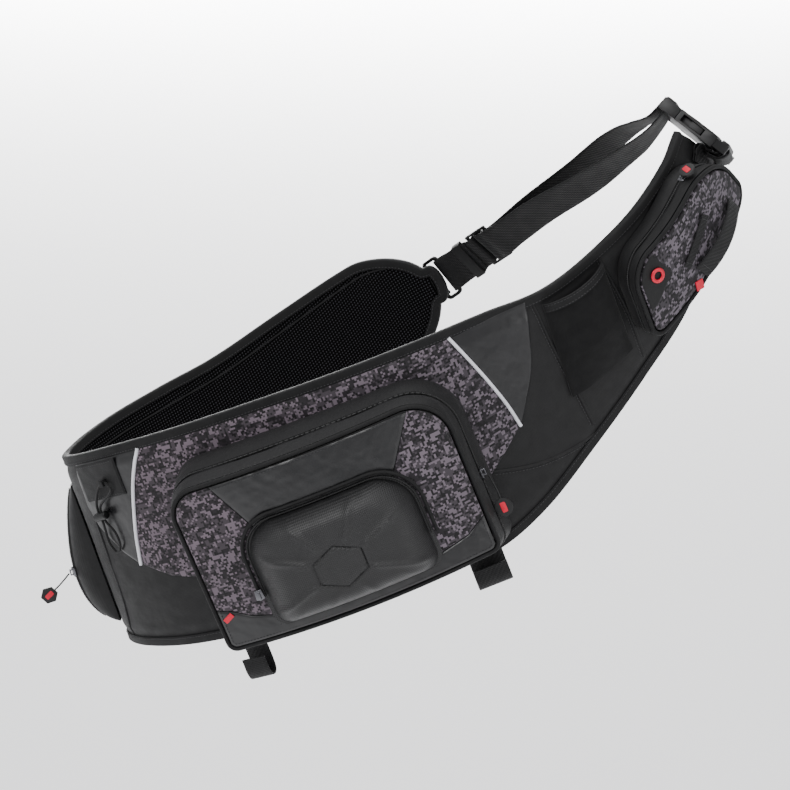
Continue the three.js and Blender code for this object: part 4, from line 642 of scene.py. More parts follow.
@dataclass(frozen=True)
class Finish:
    """One real material, made of nodes. Its colour is the base, its bump the surface's relief."""

    name: str
    slot: str
    colour: str
    roughness: float
    sheen: float = 0.0
    coat: float = 0.0
    metallic: float = 0.0
    blotch: float = 0.10
    shine: float = 0.5

    def material(self) -> bpy.types.Material:
        """The material, made once."""
        known = bpy.data.materials.get(self.name)
        if known is not None:
            return known
        made = bpy.data.materials.new(self.name)
        made.use_nodes = True
        tree = made.node_tree
        shader = tree.nodes["Principled BSDF"]
        shader.inputs["Metallic"].default_value = self.metallic
        shader.inputs["Specular IOR Level"].default_value = self.shine
        shader.inputs["Sheen Weight"].default_value = self.sheen
        shader.inputs["Sheen Roughness"].default_value = 0.45
        shader.inputs["Coat Weight"].default_value = self.coat
        shader.inputs["Coat Roughness"].default_value = 0.35
        tree.links.new(self.tone(tree), shader.inputs["Base Color"])
        tree.links.new(self.gloss(tree), shader.inputs["Roughness"])
        tree.links.new(self.relief(tree), shader.inputs["Normal"])
        return made

    def grain(self, tree: bpy.types.NodeTree, size: float, detail: float = 3.0) -> bpy.types.NodeSocket:
        """Noise on object coordinates whose features are size metres across."""
        place = node(tree, "TexCoord").outputs["Object"]
        return node(tree, "TexNoise", {"Vector": place}, {"Scale": 1.0 / size, "Detail": detail}).outputs[0]

    def tone(self, tree: bpy.types.NodeTree) -> bpy.types.NodeSocket:
        """Base colour, a little lighter or darker in soft patches 30 mm across."""
        patch = self.grain(tree, 0.030)
        level = node(tree, "MapRange", {0: patch}, {
            1: 0.3, 2: 0.7, 3: 1.0 - self.blotch, 4: 1.0 + self.blotch,
        })
        return node(tree, "VectorMath", {1: level.outputs[0]}, {0: linear(self.colour)[:3]},
                    operation="MULTIPLY").outputs[0]

    def gloss(self, tree: bpy.types.NodeTree) -> bpy.types.NodeSocket:
        """Roughness, uneven by a tenth in patches 12 mm across, as cloth and plastic wear."""
        patch = self.grain(tree, 0.012)
        return node(tree, "MapRange", {0: patch}, {
            1: 0.25, 2: 0.75, 3: max(self.roughness - 0.07, 0.05), 4: min(self.roughness + 0.07, 1.0),
        }).outputs[0]

    def relief(self, tree: bpy.types.NodeTree) -> bpy.types.NodeSocket:
        """Fine moulded grain, half a millimetre across."""
        return self.bump(tree, self.grain(tree, 0.0006, 1.0), 0.00004)

    def bump(self, tree: bpy.types.NodeTree, height: bpy.types.NodeSocket, distance: float,
             under: bpy.types.NodeSocket | None = None) -> bpy.types.NodeSocket:
        """A bump of a height in metres, over another one if given."""
        links = {"Height": height}
        if under is not None:
            links["Normal"] = under
        return node(tree, "Bump", links, {"Strength": 1.0, "Distance": distance}).outputs[0]


@dataclass(frozen=True)
class Cloth(Finish):
    """A cloth whose threads follow the piece's own pattern map."""

    pattern: Pattern = Pattern.PLAIN_WEAVE
    pitch: float = 0.0016
    depth: float = 0.00012
    fold: float = 0.0005
    shine: float = 0.3

    def bands(self, tree: bpy.types.NodeTree, pitch: float, way: str) -> bpy.types.NodeSocket:
        """A sine across the pattern map, one period to a pitch. The wave node has 20 radians to a unit."""
        place = node(tree, "UVMap", uv_map="Cloth").outputs[0]
        return node(tree, "TexWave", {"Vector": place}, {"Scale": TAU / 20.0 / pitch, "Distortion": 0.0},
                    wave_type="BANDS", bands_direction=way).outputs[1]

    def threads(self, tree: bpy.types.NodeTree) -> bpy.types.NodeSocket:
        """Height of the threads from 0 to 1."""
        if self.pattern is Pattern.COATED:
            return self.grain(tree, self.pitch, 2.0)
        across = self.bands(tree, self.pitch, "X")
        if self.pattern is Pattern.RIBBED:
            return across
        if self.pattern is Pattern.WEBBING:
            slant = self.bands(tree, self.pitch * 1.4, "DIAGONAL")
            return node(tree, "Math", {0: across, 1: slant}, operation="ADD").outputs[0]
        along = self.bands(tree, self.pitch, "Y")
        return node(tree, "Math", {0: across, 1: along}, operation="MULTIPLY").outputs[0]

    def relief(self, tree: bpy.types.NodeTree) -> bpy.types.NodeSocket:
        """Soft creases under the threads."""
        soft = self.bump(tree, self.grain(tree, 0.022, 2.0), self.fold)
        return self.bump(tree, self.threads(tree), self.depth, soft)


@dataclass(frozen=True)
class SpacerMesh(Cloth):
    """Knitted air mesh: round holes in a square grid, with painted shade in the holes, which are drawn near
    black, darker than the threads round them.
    """

    pitch: float = 0.0031

    def threads(self, tree: bpy.types.NodeTree) -> bpy.types.NodeSocket:
        """High on the threads and low in the holes: the product of two sines, cut off softly."""
        product = super().threads(tree)
        return node(tree, "MapRange", {0: product}, {1: 0.35, 2: 0.75, 3: 0.0, 4: 1.0},
                    interpolation_type="SMOOTHSTEP").outputs[0]

    def tone(self, tree: bpy.types.NodeTree) -> bpy.types.NodeSocket:
        """The thread's grey on the knots, and painted shade, near black, in the holes between them."""
        height = self.threads(tree)
        # Painted shade: the holes are mixed to near black (#020202), the shade that falls into them.
        return node(tree, "Mix", {0: height}, {6: linear("#020202"), 7: linear(self.colour)},
                    data_type="RGBA").outputs[2]


@dataclass(frozen=True)
class Camouflage(Cloth):
    """Cloth printed with square spots of three greys, each spot about two millimetres.

    The pattern map is cut into square cells. A slow noise read at the cells' corners, with a little
    random added for each cell, is compared with two levels, so the patches have stepped edges.
    """

    spot: float = 0.0019
    dark: str = CAMO_DARK
    light: str = CAMO_LIGHT

    def cells(self, tree: bpy.types.NodeTree) -> bpy.types.NodeSocket:
        """Whole numbers of the cell that a point lies in."""
        place = node(tree, "UVMap", uv_map="Cloth").outputs[0]
        scaled = node(tree, "VectorMath", {0: place}, {1: (1 / self.spot, 1 / self.spot, 0.0)},
                      operation="MULTIPLY")
        return node(tree, "VectorMath", {0: scaled.outputs[0]}, operation="FLOOR").outputs[0]

    def patches(self, tree: bpy.types.NodeTree, size: float, shift: float, level: float,
                scatter: float) -> bpy.types.NodeSocket:
        """1 where the noise of a size in cells, with scatter for each cell, is above a level."""
        cells = self.cells(tree)
        moved = node(tree, "VectorMath", {0: cells}, {
            1: (1 / size, 1.6 / size, 0.0), 2: (shift, shift, shift),
        }, operation="MULTIPLY_ADD")
        noise = node(tree, "TexNoise", {"Vector": moved.outputs[0]}, {"Scale": 1.0, "Detail": 2.5,
                                                                      "Roughness": 0.6}).outputs[0]
        dots = node(tree, "VectorMath", {0: cells}, {1: (shift, shift, shift)}, operation="ADD")
        random = node(tree, "TexWhiteNoise", {0: dots.outputs[0]}, noise_dimensions="3D").outputs[0]
        mixed = node(tree, "Math", {0: random, 2: noise}, {1: scatter}, operation="MULTIPLY_ADD")
        return node(tree, "Math", {0: mixed.outputs[0]}, {1: level + scatter / 2},
                    operation="GREATER_THAN").outputs[0]

    def tone(self, tree: bpy.types.NodeTree) -> bpy.types.NodeSocket:
        """Dark ground, then a middle grey, then light and dark small patches."""
        middle = node(tree, "Mix", {0: self.patches(tree, 6.4, 3.7, 0.49, 0.18)},
                      {6: linear(self.dark), 7: linear(self.colour)}, data_type="RGBA").outputs[2]
        light = node(tree, "Mix", {0: self.patches(tree, 3.9, 11.3, 0.54, 0.20), 6: middle},
                     {7: linear(self.light)}, data_type="RGBA").outputs[2]
        black = node(tree, "Mix", {0: self.patches(tree, 2.7, 23.9, 0.60, 0.24), 6: light},
                     {7: linear("#0c0b0d")}, data_type="RGBA").outputs[2]
        patch = self.grain(tree, 0.060)
        level = node(tree, "MapRange", {0: patch}, {1: 0.3, 2: 0.7, 3: 0.88, 4: 1.12})
        soft = node(tree, "VectorMath", {0: black, 1: level.outputs[0]}, operation="MULTIPLY").outputs[0]
        place = node(tree, "SeparateXYZ", {0: node(tree, "TexCoord").outputs["Object"]}).outputs[0]
        share = node(tree, "MapRange", {0: place}, {1: -0.6, 2: 0.0, 3: 0.0, 4: 1.0}).outputs[0]
        tint = node(tree, "Mix", {0: share}, {6: (1.07, 0.95, 0.99, 1), 7: (1.0, 1.0, 1.01, 1)},
                    data_type="RGBA").outputs[2]
        return node(tree, "VectorMath", {0: soft, 1: tint}, operation="MULTIPLY").outputs[0]


# Woven polyester, about 600 denier. Its threads are 0.6 mm apart and drawn at 1.4 mm to show.
INK_CLOTH = Cloth("oxford_polyester", "ink_cloth", INK, 0.60, sheen=0.04, pitch=0.0014, fold=0.0011,
                  shine=0.32)
STRETCH_CLOTH = Cloth("stretch_knit", "ink_cloth", "#080809", 0.92, sheen=0.06, pitch=0.0012, depth=0.00008)
# Polyester with a polyurethane coat, which gives broad soft highlights over a fine grain.
COATED_CLOTH = Cloth("coated_polyester", "coated_fabric", COATED_GREY, 0.34, coat=0.22, shine=0.5,
                     pattern=Pattern.COATED, pitch=0.0008, depth=0.00005, fold=0.0024)
CAMO_CLOTH = Camouflage("printed_polyester", "camouflage_fabric", CAMO_MIDDLE, 0.62, sheen=0.05,
                        pitch=0.0014, depth=0.0001)
TAPE_CLOTH = Cloth("grosgrain_tape", "edge_tape", TAPE_BLACK, 0.70, sheen=0.04, pattern=Pattern.RIBBED,
                   pitch=0.0013, depth=0.00015, fold=0.0003)
WEBBING_CLOTH = Cloth("nylon_webbing", "webbing", INK, 0.62, sheen=0.05, pattern=Pattern.WEBBING,
                      pitch=0.0018, depth=0.00022, fold=0.0002)
ZIP_CLOTH = Cloth("zip_tape", "webbing", INK_LIGHT, 0.75, pitch=0.0010, depth=0.00008)
MESH_CLOTH = SpacerMesh("spacer_mesh", "air_mesh", "#3a3a3d", 0.9, depth=0.0005, shine=0.08)
BACK_MESH = SpacerMesh("spacer_mesh_inner", "ink_cloth", "#3a3a3d", 0.9, depth=0.0005, shine=0.08)
REFLECTOR = Cloth("reflective_cord", "reflective_piping", REFLECTOR_GREY, 0.35, coat=0.2,
                  pitch=0.0010, depth=0.00006, fold=0.0001)
SHELL_CLOTH = Cloth("moulded_foam_shell", "moulded_shell", SHELL_GREY, 0.48, coat=0.05, pitch=0.0018,
                    depth=0.00032, fold=0.0002, shine=0.5)
ACETAL = Finish("moulded_acetal", "acetal", PLASTIC_BLACK, 0.40, blotch=0.05, shine=0.3)
DARK_STEEL = Finish("plated_zinc", "acetal", STEEL_GREY, 0.28, metallic=0.9, blotch=0.05)
ANODISED = Finish("anodised_aluminium", "accent_enamel", ACCENT_RED, 0.30, metallic=0.35, coat=0.3,
                  blotch=0.04)
RED_RUBBER = Finish("moulded_rubber_red", "accent_rubber", ACCENT_RED, 0.5, blotch=0.05)
RED_INLAY = Finish("moulded_inlay_red", "acetal", ACCENT_RED, 0.5, blotch=0.05)
BLACK_RUBBER = Finish("moulded_rubber_black", "acetal", "#0d0d0e", 0.5, blotch=0.05)
BRAID = Cloth("braided_elastic", "elastic_cord", "#0e0e0f", 0.7, sheen=0.1, pattern=Pattern.WEBBING,
              pitch=0.0009, depth=0.00015, fold=0.0)
THREAD = Finish("bonded_nylon_thread", "edge_tape", THREAD_BLACK, 0.55)


def dress(piece: bpy.types.Object, finish: Finish, *nodes: str) -> bpy.types.Object:
    """Gives a piece its finish, and has it ride on the bag and stand for its CAD nodes.

    Args:
        piece: the piece.
        finish: its finish.
        nodes: the CAD nodes that it replaces.

    Returns:
        The piece.
    """
    piece.data.materials.clear()
    piece.data.materials.append(finish.material())
    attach(piece, "root")
    if nodes:
        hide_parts(*nodes)
    LOG.info("%s: %d faces", piece.name, len(piece.data.polygons))
    return piece


def eased_copy(name: str, source: str, radius: float, finish: Finish, flat: float = 2.0) -> bpy.types.Object:
    """A merged copy of a CAD node with its corners rounded over, for moulded hardware.

    Args:
        name: name of the piece.
        source: the CAD node.
        radius: how far the rounding reaches, mm.
        finish: its finish.
        flat: faces that meet at less than this angle, in degrees, become one.

    Returns:
        The new piece.
    """
    mesh = bpy.data.objects[source].data.copy()
    mesh.name = name
    work = bmesh.new()
    work.from_mesh(mesh)
    bmesh.ops.remove_doubles(work, verts=work.verts, dist=2e-6)
    bmesh.ops.dissolve_limit(work, angle_limit=np.radians(flat), verts=work.verts, edges=work.edges)
    work.to_mesh(mesh)
    work.free()
    piece = bpy.data.objects.new(name, mesh)
    bpy.context.scene.collection.objects.link(piece)
    bevel = piece.modifiers.new("Rounding", "BEVEL")
    bevel.width = radius * MM
    bevel.segments = 3
    bevel.limit_method = "ANGLE"
    bevel.angle_limit = np.radians(28)
    bevel.harden_normals = False
    bake(piece)
    piece.data.shade_smooth()
    piece.data.set_sharp_from_angle(angle=np.radians(35))
    return dress(piece, finish, source)


def bake(piece: bpy.types.Object) -> None:
    """Puts the result of a piece's modifiers into its mesh."""
    bpy.context.view_layer.update()
    graph = bpy.context.evaluated_depsgraph_get()
    made = bpy.data.meshes.new_from_object(piece.evaluated_get(graph), depsgraph=graph)
    piece.modifiers.clear()
    piece.data = made


def coons(bottom: Array, top: Array, left: Array, right: Array, rows: int, columns: int) -> Array:
    """A patch between four lines: both ruled surfaces added, less the plane of the four corners.

    Args:
        bottom: line from the low left corner to the low right one.
        top: line from the high left corner to the high right one.
        left: line from the low left corner up.
        right: line from the low right corner up.
        rows: points from left to right.
        columns: points from low to high.

    Returns:
        Grid of points, rows × columns × 2.
    """
    def even(line: Array, count: int) -> Array:
        """A flat line at equal steps of its length."""
        line = np.asarray(line, float)
        length = lengths(line)
        at = np.linspace(0, length[-1], count)
        return np.stack([np.interp(at, length, line[:, i]) for i in range(2)], -1)

    b, t = even(bottom, rows)[:, None], even(top, rows)[:, None]
    l, r = even(left, columns)[None], even(right, columns)[None]
    s, u = np.linspace(0, 1, rows)[:, None, None], np.linspace(0, 1, columns)[None, :, None]
    corners = (1 - s) * (1 - u) * b[:1] + s * (1 - u) * b[-1:] + (1 - s) * u * t[:1] + s * u * t[-1:]
    return (1 - u) * b + u * t + (1 - s) * l + s * r - corners


def mean_steps(grid: Array) -> Array:
    """Mean distances between a grid's rows and between its columns."""
    return np.array([np.linalg.norm(grid[1:] - grid[:-1], axis=-1).mean(),
                     np.linalg.norm(grid[:, 1:] - grid[:, :-1], axis=-1).mean()])


def tuck(shape: tuple[int, int], steps: Array, reach: float) -> Array:
    """How far a sewn panel has risen at each grid point: 0 on its rim and 1 from reach inwards.

    Args:
        shape: rows and columns.
        steps: mean distances between rows and between columns, mm.
        reach: distance over which the cloth rises, mm.

    Returns:
        Share of the full height.
    """
    i, j = np.meshgrid(np.arange(shape[0]), np.arange(shape[1]), indexing="ij")
    rows, columns = np.minimum(i, shape[0] - 1 - i), np.minimum(j, shape[1] - 1 - j)
    inside = np.minimum(rows * steps[0], columns * steps[1])
    share = np.sqrt(np.clip(inside / reach, 0.0, 1.0))
    return share * (2.0 - share)


@dataclass
class PaddedBand:
    """The band from the hip to the shoulder: outer cloth, inner mesh, edge tapes and sewn-on panels."""

    gauge: float = 8.0
    edge: float = 4.0
    taper: float = 20.0
    tape_width: float = 9.0
    tape: float = 1.7
    skin: float = 1.2
    piping: float = 1.8
    left_line: tuple = ((128, 101), (109, 67), (99, 43), (88, 13), (80, -16))
    right_line: tuple = ((452, 101), (463, 72), (476, 36), (484, 11), (490, -14))
    chest_line: tuple = ((535, 89), (528, 60), (518, 28), (503, 5), (491, -12))

    def rise(self, at: Array, across: Array) -> Array:
        """Half the padding's thickness: it thins over the last millimetres towards the edge."""
        inside = BAND.half(at) - np.abs(across)
        return self.edge / 2 + (self.gauge - self.edge) / 2 * ramp(inside, self.tape_width, self.taper)

    def side(self, at: Array, levels: Array, sign: float, seed: int) -> Array:
        """One face of the padding. levels runs from -1 to 1 across it."""
        limit = BAND.half(at) - 1.6
        across = limit[:, None] * levels[None]
        where = np.broadcast_to(at[:, None], across.shape)
        front = np.interp(where, np.linspace(0, 1, 601), BAND.reaches)
        reach = np.where(where < 0, where * BAND.wing_length, front)
        soft = ramp(limit[:, None] - np.abs(across), 6.0, 34.0)
        folds = ripple(reach, across, 85.0, 0.5, seed)
        folds = folds + ripple(reach * 0.5, across, 46.0, 0.22, seed + 1, True)
        return BAND.on(where, across, sign * (self.rise(where, across) + folds * soft))

    def pad(self, name: str, stations: Array, sign: float, seed: int, finish: Finish, node_name: str) -> None:
        """Half of the padding, from its middle plane to one face."""
        levels = np.sin(np.linspace(-np.pi / 2, np.pi / 2, 61))
        face = self.side(stations, levels, sign, seed)
        where = np.broadcast_to(stations[:, None], face.shape[:2])
        across = (BAND.half(stations) - 1.6)[:, None] * levels[None]
        middle = BAND.on(where, across, np.full(across.shape, 0.15 * sign))
        length = lengths(BAND.centre(stations))
        uv = np.stack([np.broadcast_to(length[:, None], across.shape), across], -1)
        piece = dress(wall(name, face, middle, uv), finish, node_name)

    def rim(self, at: Array, side: Side) -> tuple[Array, Array]:
        """Points of the upper or lower rim and the band's outward direction there."""
        middle, way, outward = BAND.station(at)
        return middle + way * (side.value * BAND.half(at))[:, None], outward

    def tape_profile(self, inside: float) -> Array:
        """A folded tape: a long half oval outside and the same, thinner, inside."""
        out = inside + self.tape
        turn = np.linspace(-np.pi / 2, np.pi / 2, 9)
        over = np.stack([0.6 - 1.6 * np.cos(turn), out * np.sin(turn)], -1)
        under = np.stack([1.7 - 0.9 * np.cos(turn), inside * np.sin(turn)], -1)
        low, high = [self.tape_width, -out + 0.35], [self.tape_width, out - 0.35]
        return np.concatenate([[low], over, [high], [[self.tape_width, inside]], under[::-1],
                               [[self.tape_width, -inside]]])

    def binding(self, name: str, path: Array, outward: Array, inward_sign: float,
                node_name: str) -> None:
        """The edge tape along a rim, with a stitch row near its inner edge on both faces."""
        travel = unit(np.gradient(path, axis=0))
        inward = unit(np.cross(travel, outward)) * inward_sign
        profile = self.tape_profile(self.edge / 2 + 0.35)
        profile = profile * [inward_sign, 1.0]
        piece = sweep(name, path, profile, outward)
        dress(piece, TAPE_CLOTH, node_name)
        lift = self.edge / 2 + 0.35 + self.tape - 0.12
        for word, sign in (("front", 1.0), ("back", -1.0)):
            seam = path + inward * (self.tape_width - 1.8) + outward * sign * lift
            dress(stitches(f"{name}_seam_{word}", seam, outward * sign), THREAD)

    def panel(self, name: str, patch: Array, finish: Finish, node_name: str, lift: float = 0.0,
              seed: int = 5) -> None:
        """A cover sewn on the band's front, from a patch of lengths along and across it."""
        reach, across = patch[..., 0], patch[..., 1]
        at = BAND.at(reach)
        steps = mean_steps(patch)
        high = tuck(patch.shape[:2], steps, 3.0)
        base = self.rise(at, across) + 0.55
        fold = ripple(reach, across, 60.0, 0.35, seed) * ramp(high, 0.4, 1.0)
        front = BAND.on(at, across, base + lift + 0.35 + self.skin * high + fold)
        back = BAND.on(at, across, base - 0.25 + 0.0 * high)
        dress(wall(name, front, back, patch), finish, node_name)

    def reflector(self, name: str, line: Array, node_name: str) -> None:
        """A round reflective piping that stands in the seam between two covers."""
        spots = resample(np.array(line, float), 60)
        at = BAND.at(spots[:, 0])
        path = BAND.on(at, spots[:, 1], self.rise(at, spots[:, 1]) + 0.5 + self.piping)
        dress(sweep(name, path, circle(self.piping, 12), BAND.station(at)[2]), REFLECTOR, node_name)

    def top(self, reach: Array) -> Array:
        """The upper limit of the covers, just under the edge tape."""
        return BAND.half(BAND.at(reach)) - self.tape_width + 0.5

    def lines(self) -> dict[str, Array]:
        """The lines between the covers, as lengths along and across the band."""
        left, right, chest = (resample(np.array(line, float)[::-1], 40) for line in
                              (self.left_line, self.right_line, self.chest_line))
        return {"left": left, "right": right, "chest": chest}

    def edge_between(self, start: float, end: float) -> Array:
        """The upper limit of the covers from one length to another."""
        reach = np.linspace(start, end, 60)
        return np.stack([reach, self.top(reach)], -1)

    def build(self) -> None:
        """Makes the padding, the covers, the pipings and the tapes."""
        stations = np.concatenate([np.linspace(0.0005, 0.13, 40), np.linspace(0.13, 1.0, 170)[1:]])
        self.pad("band_outer_padding", stations, 1.0, 11, INK_CLOTH, "sling_panel")
        self.pad("band_inner_padding", stations, -1.0, 17, BACK_MESH, "sling_panel")
        lines = self.lines()
        gap = self.piping * 0.55
        left, right, chest = lines["left"], lines["right"], lines["chest"]
        left_top, right_top, chest_top = left[-1], right[-1], chest[-1]
        low = np.array([[30, 52], [38, 28], [61, -1], [left[0, 0] - gap, left[0, 1]]])
        side = np.array([[30, 52], [30, 75], [31, self.top(np.array([31.0]))[0]]])
        patch = coons(low, self.edge_between(31, left_top[0] - gap), side, left - [gap, 0], 60, 60)
        self.panel("hip_coated_cover", patch, COATED_CLOTH, "hip_coated_panel", seed=31)
        bottom = np.array([[left[0, 0] + gap, left[0, 1]], [111, -33], [150, -44], [300, -52], [420, -46],
                           [449, -39], [470, -26], [right[0, 0] - gap, right[0, 1]]])
        patch = coons(bottom, self.edge_between(left_top[0] + gap, right_top[0] - gap), left + [gap, 0],
                      right - [gap, 0], 190, 70)
        self.panel("body_camouflage_cover", patch, CAMO_CLOTH, "camo_body_panel", seed=37)
        low = np.array([[right[0, 0] + gap, right[0, 1]], [chest[0, 0] + gap, chest[0, 1] + 1]])
        patch = coons(low, self.edge_between(right_top[0] + gap, chest_top[0]), right + [gap, 0], chest,
                      50, 60)
        self.panel("chest_coated_cover", patch, COATED_CLOTH, "chest_coated_panel", seed=41)
        self.reflector("reflective_cord_left", self.left_line, "reflective_piping_left")
        self.reflector("reflective_cord_right", self.right_line, "reflective_piping_right")
        for side, word in ((Side.UPPER, "upper"), (Side.LOWER, "lower")):
            path, outward = self.rim(stations, side)
            self.binding(f"edge_tape_{word}", path, outward, side.value, f"binding_{word}")
        self.seams()

    def seams(self) -> None:
        """Sewn lines in the outer cloth of the chest, each a tucked fold with stitches beside it."""
        for k, line in enumerate((((541, 82), (549, 17), (555, -16), (562, -65)),
                                  ((627, 66), (637, -6), (637, -56)),
                                  ((449, -39), (500, -60), (563, -75)),
                                  ((33, 60), (30, -8), (29, -42), (18, -96)))):
            spots = resample(np.array(line, float), 90)
            at = BAND.at(spots[:, 0])
            out = self.rise(at, spots[:, 1])
            path = BAND.on(at, spots[:, 1], out + 0.25)
            normal = BAND.station(at)[2]
            dress(sweep(f"chest_fold_{k + 1}", path, circle(1.5, 10, 0.55), normal), INK_CLOTH)
            aside = unit(np.cross(np.gradient(path, axis=0), normal))
            beside = BAND.on(at, spots[:, 1], out + 0.45) + aside * 3.0
            dress(stitches(f"chest_fold_{k + 1}_seam", beside, normal), THREAD)


@dataclass
class HipWing(PaddedBand):
    """The wing round the other side of the hip, with its tape and its pipings."""

    def nose_rim(self) -> tuple[Array, Array]:
        """The rim from the upper side of the hip round the nose to the lower side."""
        steps = np.array([0.0, 0.5, 1.5, 3.0, 5.5, 9.5, 14, 18, 24, 30, 37, 44, 52, 60])
        near = BAND.tip + steps / BAND.wing_length
        far = np.linspace(near[-1], -0.001, 120)[1:]
        rims = np.concatenate([near, far])
        upper, lower = self.rim(rims[::-1], Side.UPPER), self.rim(rims, Side.LOWER)
        path = np.concatenate([upper[0], lower[0]])
        outward = np.concatenate([upper[1], lower[1]])
        both = resample(np.concatenate([path, outward * 40.0], axis=1), 420)
        return both[:, :3], unit(both[:, 3:])

    def build(self) -> None:
        """Makes the wing's two faces and its tape."""
        near = BAND.tip + (2.2 + 58.0 * np.linspace(0, 1, 24) ** 1.5) / BAND.wing_length
        stations = np.concatenate([near, np.linspace(near[-1], -0.0006, 130)[1:]])
        self.pad("wing_outer_padding", stations, 1.0, 23, INK_CLOTH, "hip_wing")
        self.pad("wing_inner_padding", stations, -1.0, 29, MESH_CLOTH, "hip_wing")
        path, outward = self.nose_rim()
        self.binding("edge_tape_wing", path, outward, -1.0, "binding_wing")
        quilt = np.linspace(-0.93, -0.02, 200)
        for word, share in (("high", 0.80), ("low", -0.80)):
            across = BAND.half(quilt) * share
            seam = BAND.on(quilt, across, -self.rise(quilt, across) - 0.35)
            dress(sweep(f"wing_piping_{word}", seam, circle(0.9, 8), BAND.station(quilt)[2]), TAPE_CLOTH)


@dataclass
class MainPocket:
    """The large pocket: side walls with a zip, a bowed face of sewn panels, and the moulded pocket."""

    left: float = 112.0
    low: float = -99.0
    width: float = 281.0
    height: float = 169.0
    depth: float = 74.0
    bow: float = 24.0
    flare: float = 10.0
    corners: tuple = (10.0, 10.0, 44.0, 30.0)
    fabric: float = 2.0
    piping: float = 2.2
    zip_from: float = 0.52
    zip_to: float = 0.64
    seam: float = 0.008
    mould: tuple = (168.0, -86.0, 172.0, 107.0)
    mould_corners: tuple = (14.0, 14.0, 40.0, 34.0)
    mould_depth: float = 32.0
    mould_wall: float = 2.4
    plane: float = field(init=False)
    middle: float = field(init=False)

    def __post_init__(self) -> None:
        """Finds the face's nearest depth."""
        self.middle = self.left + self.width / 2
        self.plane = float(BAND.depth_at(np.array(self.middle), np.array(0.0), 4.0)) - self.depth

    def face_depth(self, x: Array) -> Array:
        """Depth of the face: a parabola, nearest in the middle."""
        return self.plane + self.bow * ((np.asarray(x) - self.middle) / (self.width / 2)) ** 2

    def face_box(self) -> tuple:
        """The face's outline box."""
        return self.left, self.low, self.width, self.height, self.corners

    def wall_point(self, share: Array, inset: float) -> Array:
        """Points of the side wall: straight lines from the band to the face, one for each outline point."""
        root = rounded(self.left + 2, self.low - 5, self.width + self.flare, self.height + 5 + self.flare,
                       tuple(1.2 * r for r in self.corners), inset, 12, 26)
        face = rounded(*self.face_box(), inset, 12, 26)
        root, face = np.concatenate([root, root[:1]]), np.concatenate([face, face[:1]])
        start = np.stack([root[:, 0], BAND.depth_at(root[:, 0], root[:, 1], 6.5), root[:, 1]], -1)
        end = np.stack([face[:, 0], self.face_depth(face[:, 0]) + 2 * self.piping + 0.5, face[:, 1]], -1)
        return start[:, None] + (end - start)[:, None] * share[None, :, None]

    def strip(self, name: str, start: float, end: float, gauge: float, finish: Finish, node_name: str,
              sag: float, seed: int) -> None:
        """A closed strip of the side wall, which swells outwards between its seams."""
        share = np.linspace(start, end, 26)
        outer = self.wall_point(share, (self.fabric - gauge) / 2)
        inner = self.wall_point(share, (self.fabric + gauge) / 2)
        out = unit(outer - inner)
        length = lengths(outer[:, 0])
        u = np.broadcast_to(length[:, None], outer.shape[:2])
        v = np.broadcast_to((share * self.depth)[None], outer.shape[:2])
        free = np.sin(np.pi * (share - start) / (end - start))[None]
        fade = np.minimum(1.0, np.minimum(u, length[-1] - u) / 30.0)
        folds = ripple(u, v, 70.0, 0.9, seed) + ripple(u, v * 0.4, 36.0, 0.45, seed + 1, True)
        lift = free * (sag + fade * folds)
        uv = np.stack([u, v], -1)
        dress(wall(name, outer + out * lift[..., None], inner + out * lift[..., None] * 0.9, uv, ring=True),
              finish, node_name)

    def face_skin(self, name: str, patch: Array, finish: Finish, node_name: str, puff: float, seed: int,
                  deep: float = 0.9) -> None:
        """A sewn panel of the face, from a patch of x and z, which rises over its sunk rim."""
        x, z = patch[..., 0], patch[..., 1]
        steps = mean_steps(patch)
        high = tuck(patch.shape[:2], steps, 3.2)
        crown = puff * dome(patch.shape[:2], 0.7)
        folds = ripple(x, z, 60.0, 0.4, seed) + ripple(x, z, 30.0, 0.2, seed + 1, True)
        fold = folds * ramp(high, 0.3, 1.0)
        base = self.face_depth(x)
        front = np.stack([x, base - 0.2 - deep * high - crown - fold, z], -1)
        back = np.stack([x, base + 0.9 + 0.0 * x, z], -1)
        dress(wall(name, front, back, patch), finish, node_name)

    def inner_line(self, side: float, x: Array, inset: float = 4.9) -> Array:
        """The face's low or high line inside its piping."""
        return outline_line(*self.face_box(), inset, side, np.asarray(x, float))

    def face(self) -> None:
        """The face's backing, its four panels and the piping round it."""
        x = np.concatenate([np.linspace(self.left + 5.2, self.left + 40, 24),
                            np.linspace(self.left + 40, self.left + self.width - 50, 60)[1:],
                            np.linspace(self.left + self.width - 50, self.left + self.width - 5.2, 30)[1:]])
        level = np.linspace(0, 1, 40)
        low, high = self.inner_line(-1, x)[:, None], self.inner_line(1, x)[:, None]
        z = low + (high - low) * level[None]
        wide = np.broadcast_to(x[:, None], z.shape)
        front = np.stack([wide, self.face_depth(wide) + 0.5, z], -1)
        back = np.stack([wide, self.face_depth(wide) + 2.5, z], -1)
        dress(wall("main_face_backing", front, back, np.stack([wide, z], -1)), INK_CLOTH, "main_pocket_face")

        def high_line(start: float, end: float) -> Array:
            """The face's upper edge between two places along it."""
            span = np.linspace(start, end, 60)
            return np.stack([span, self.inner_line(1, span, 5.2)], -1)

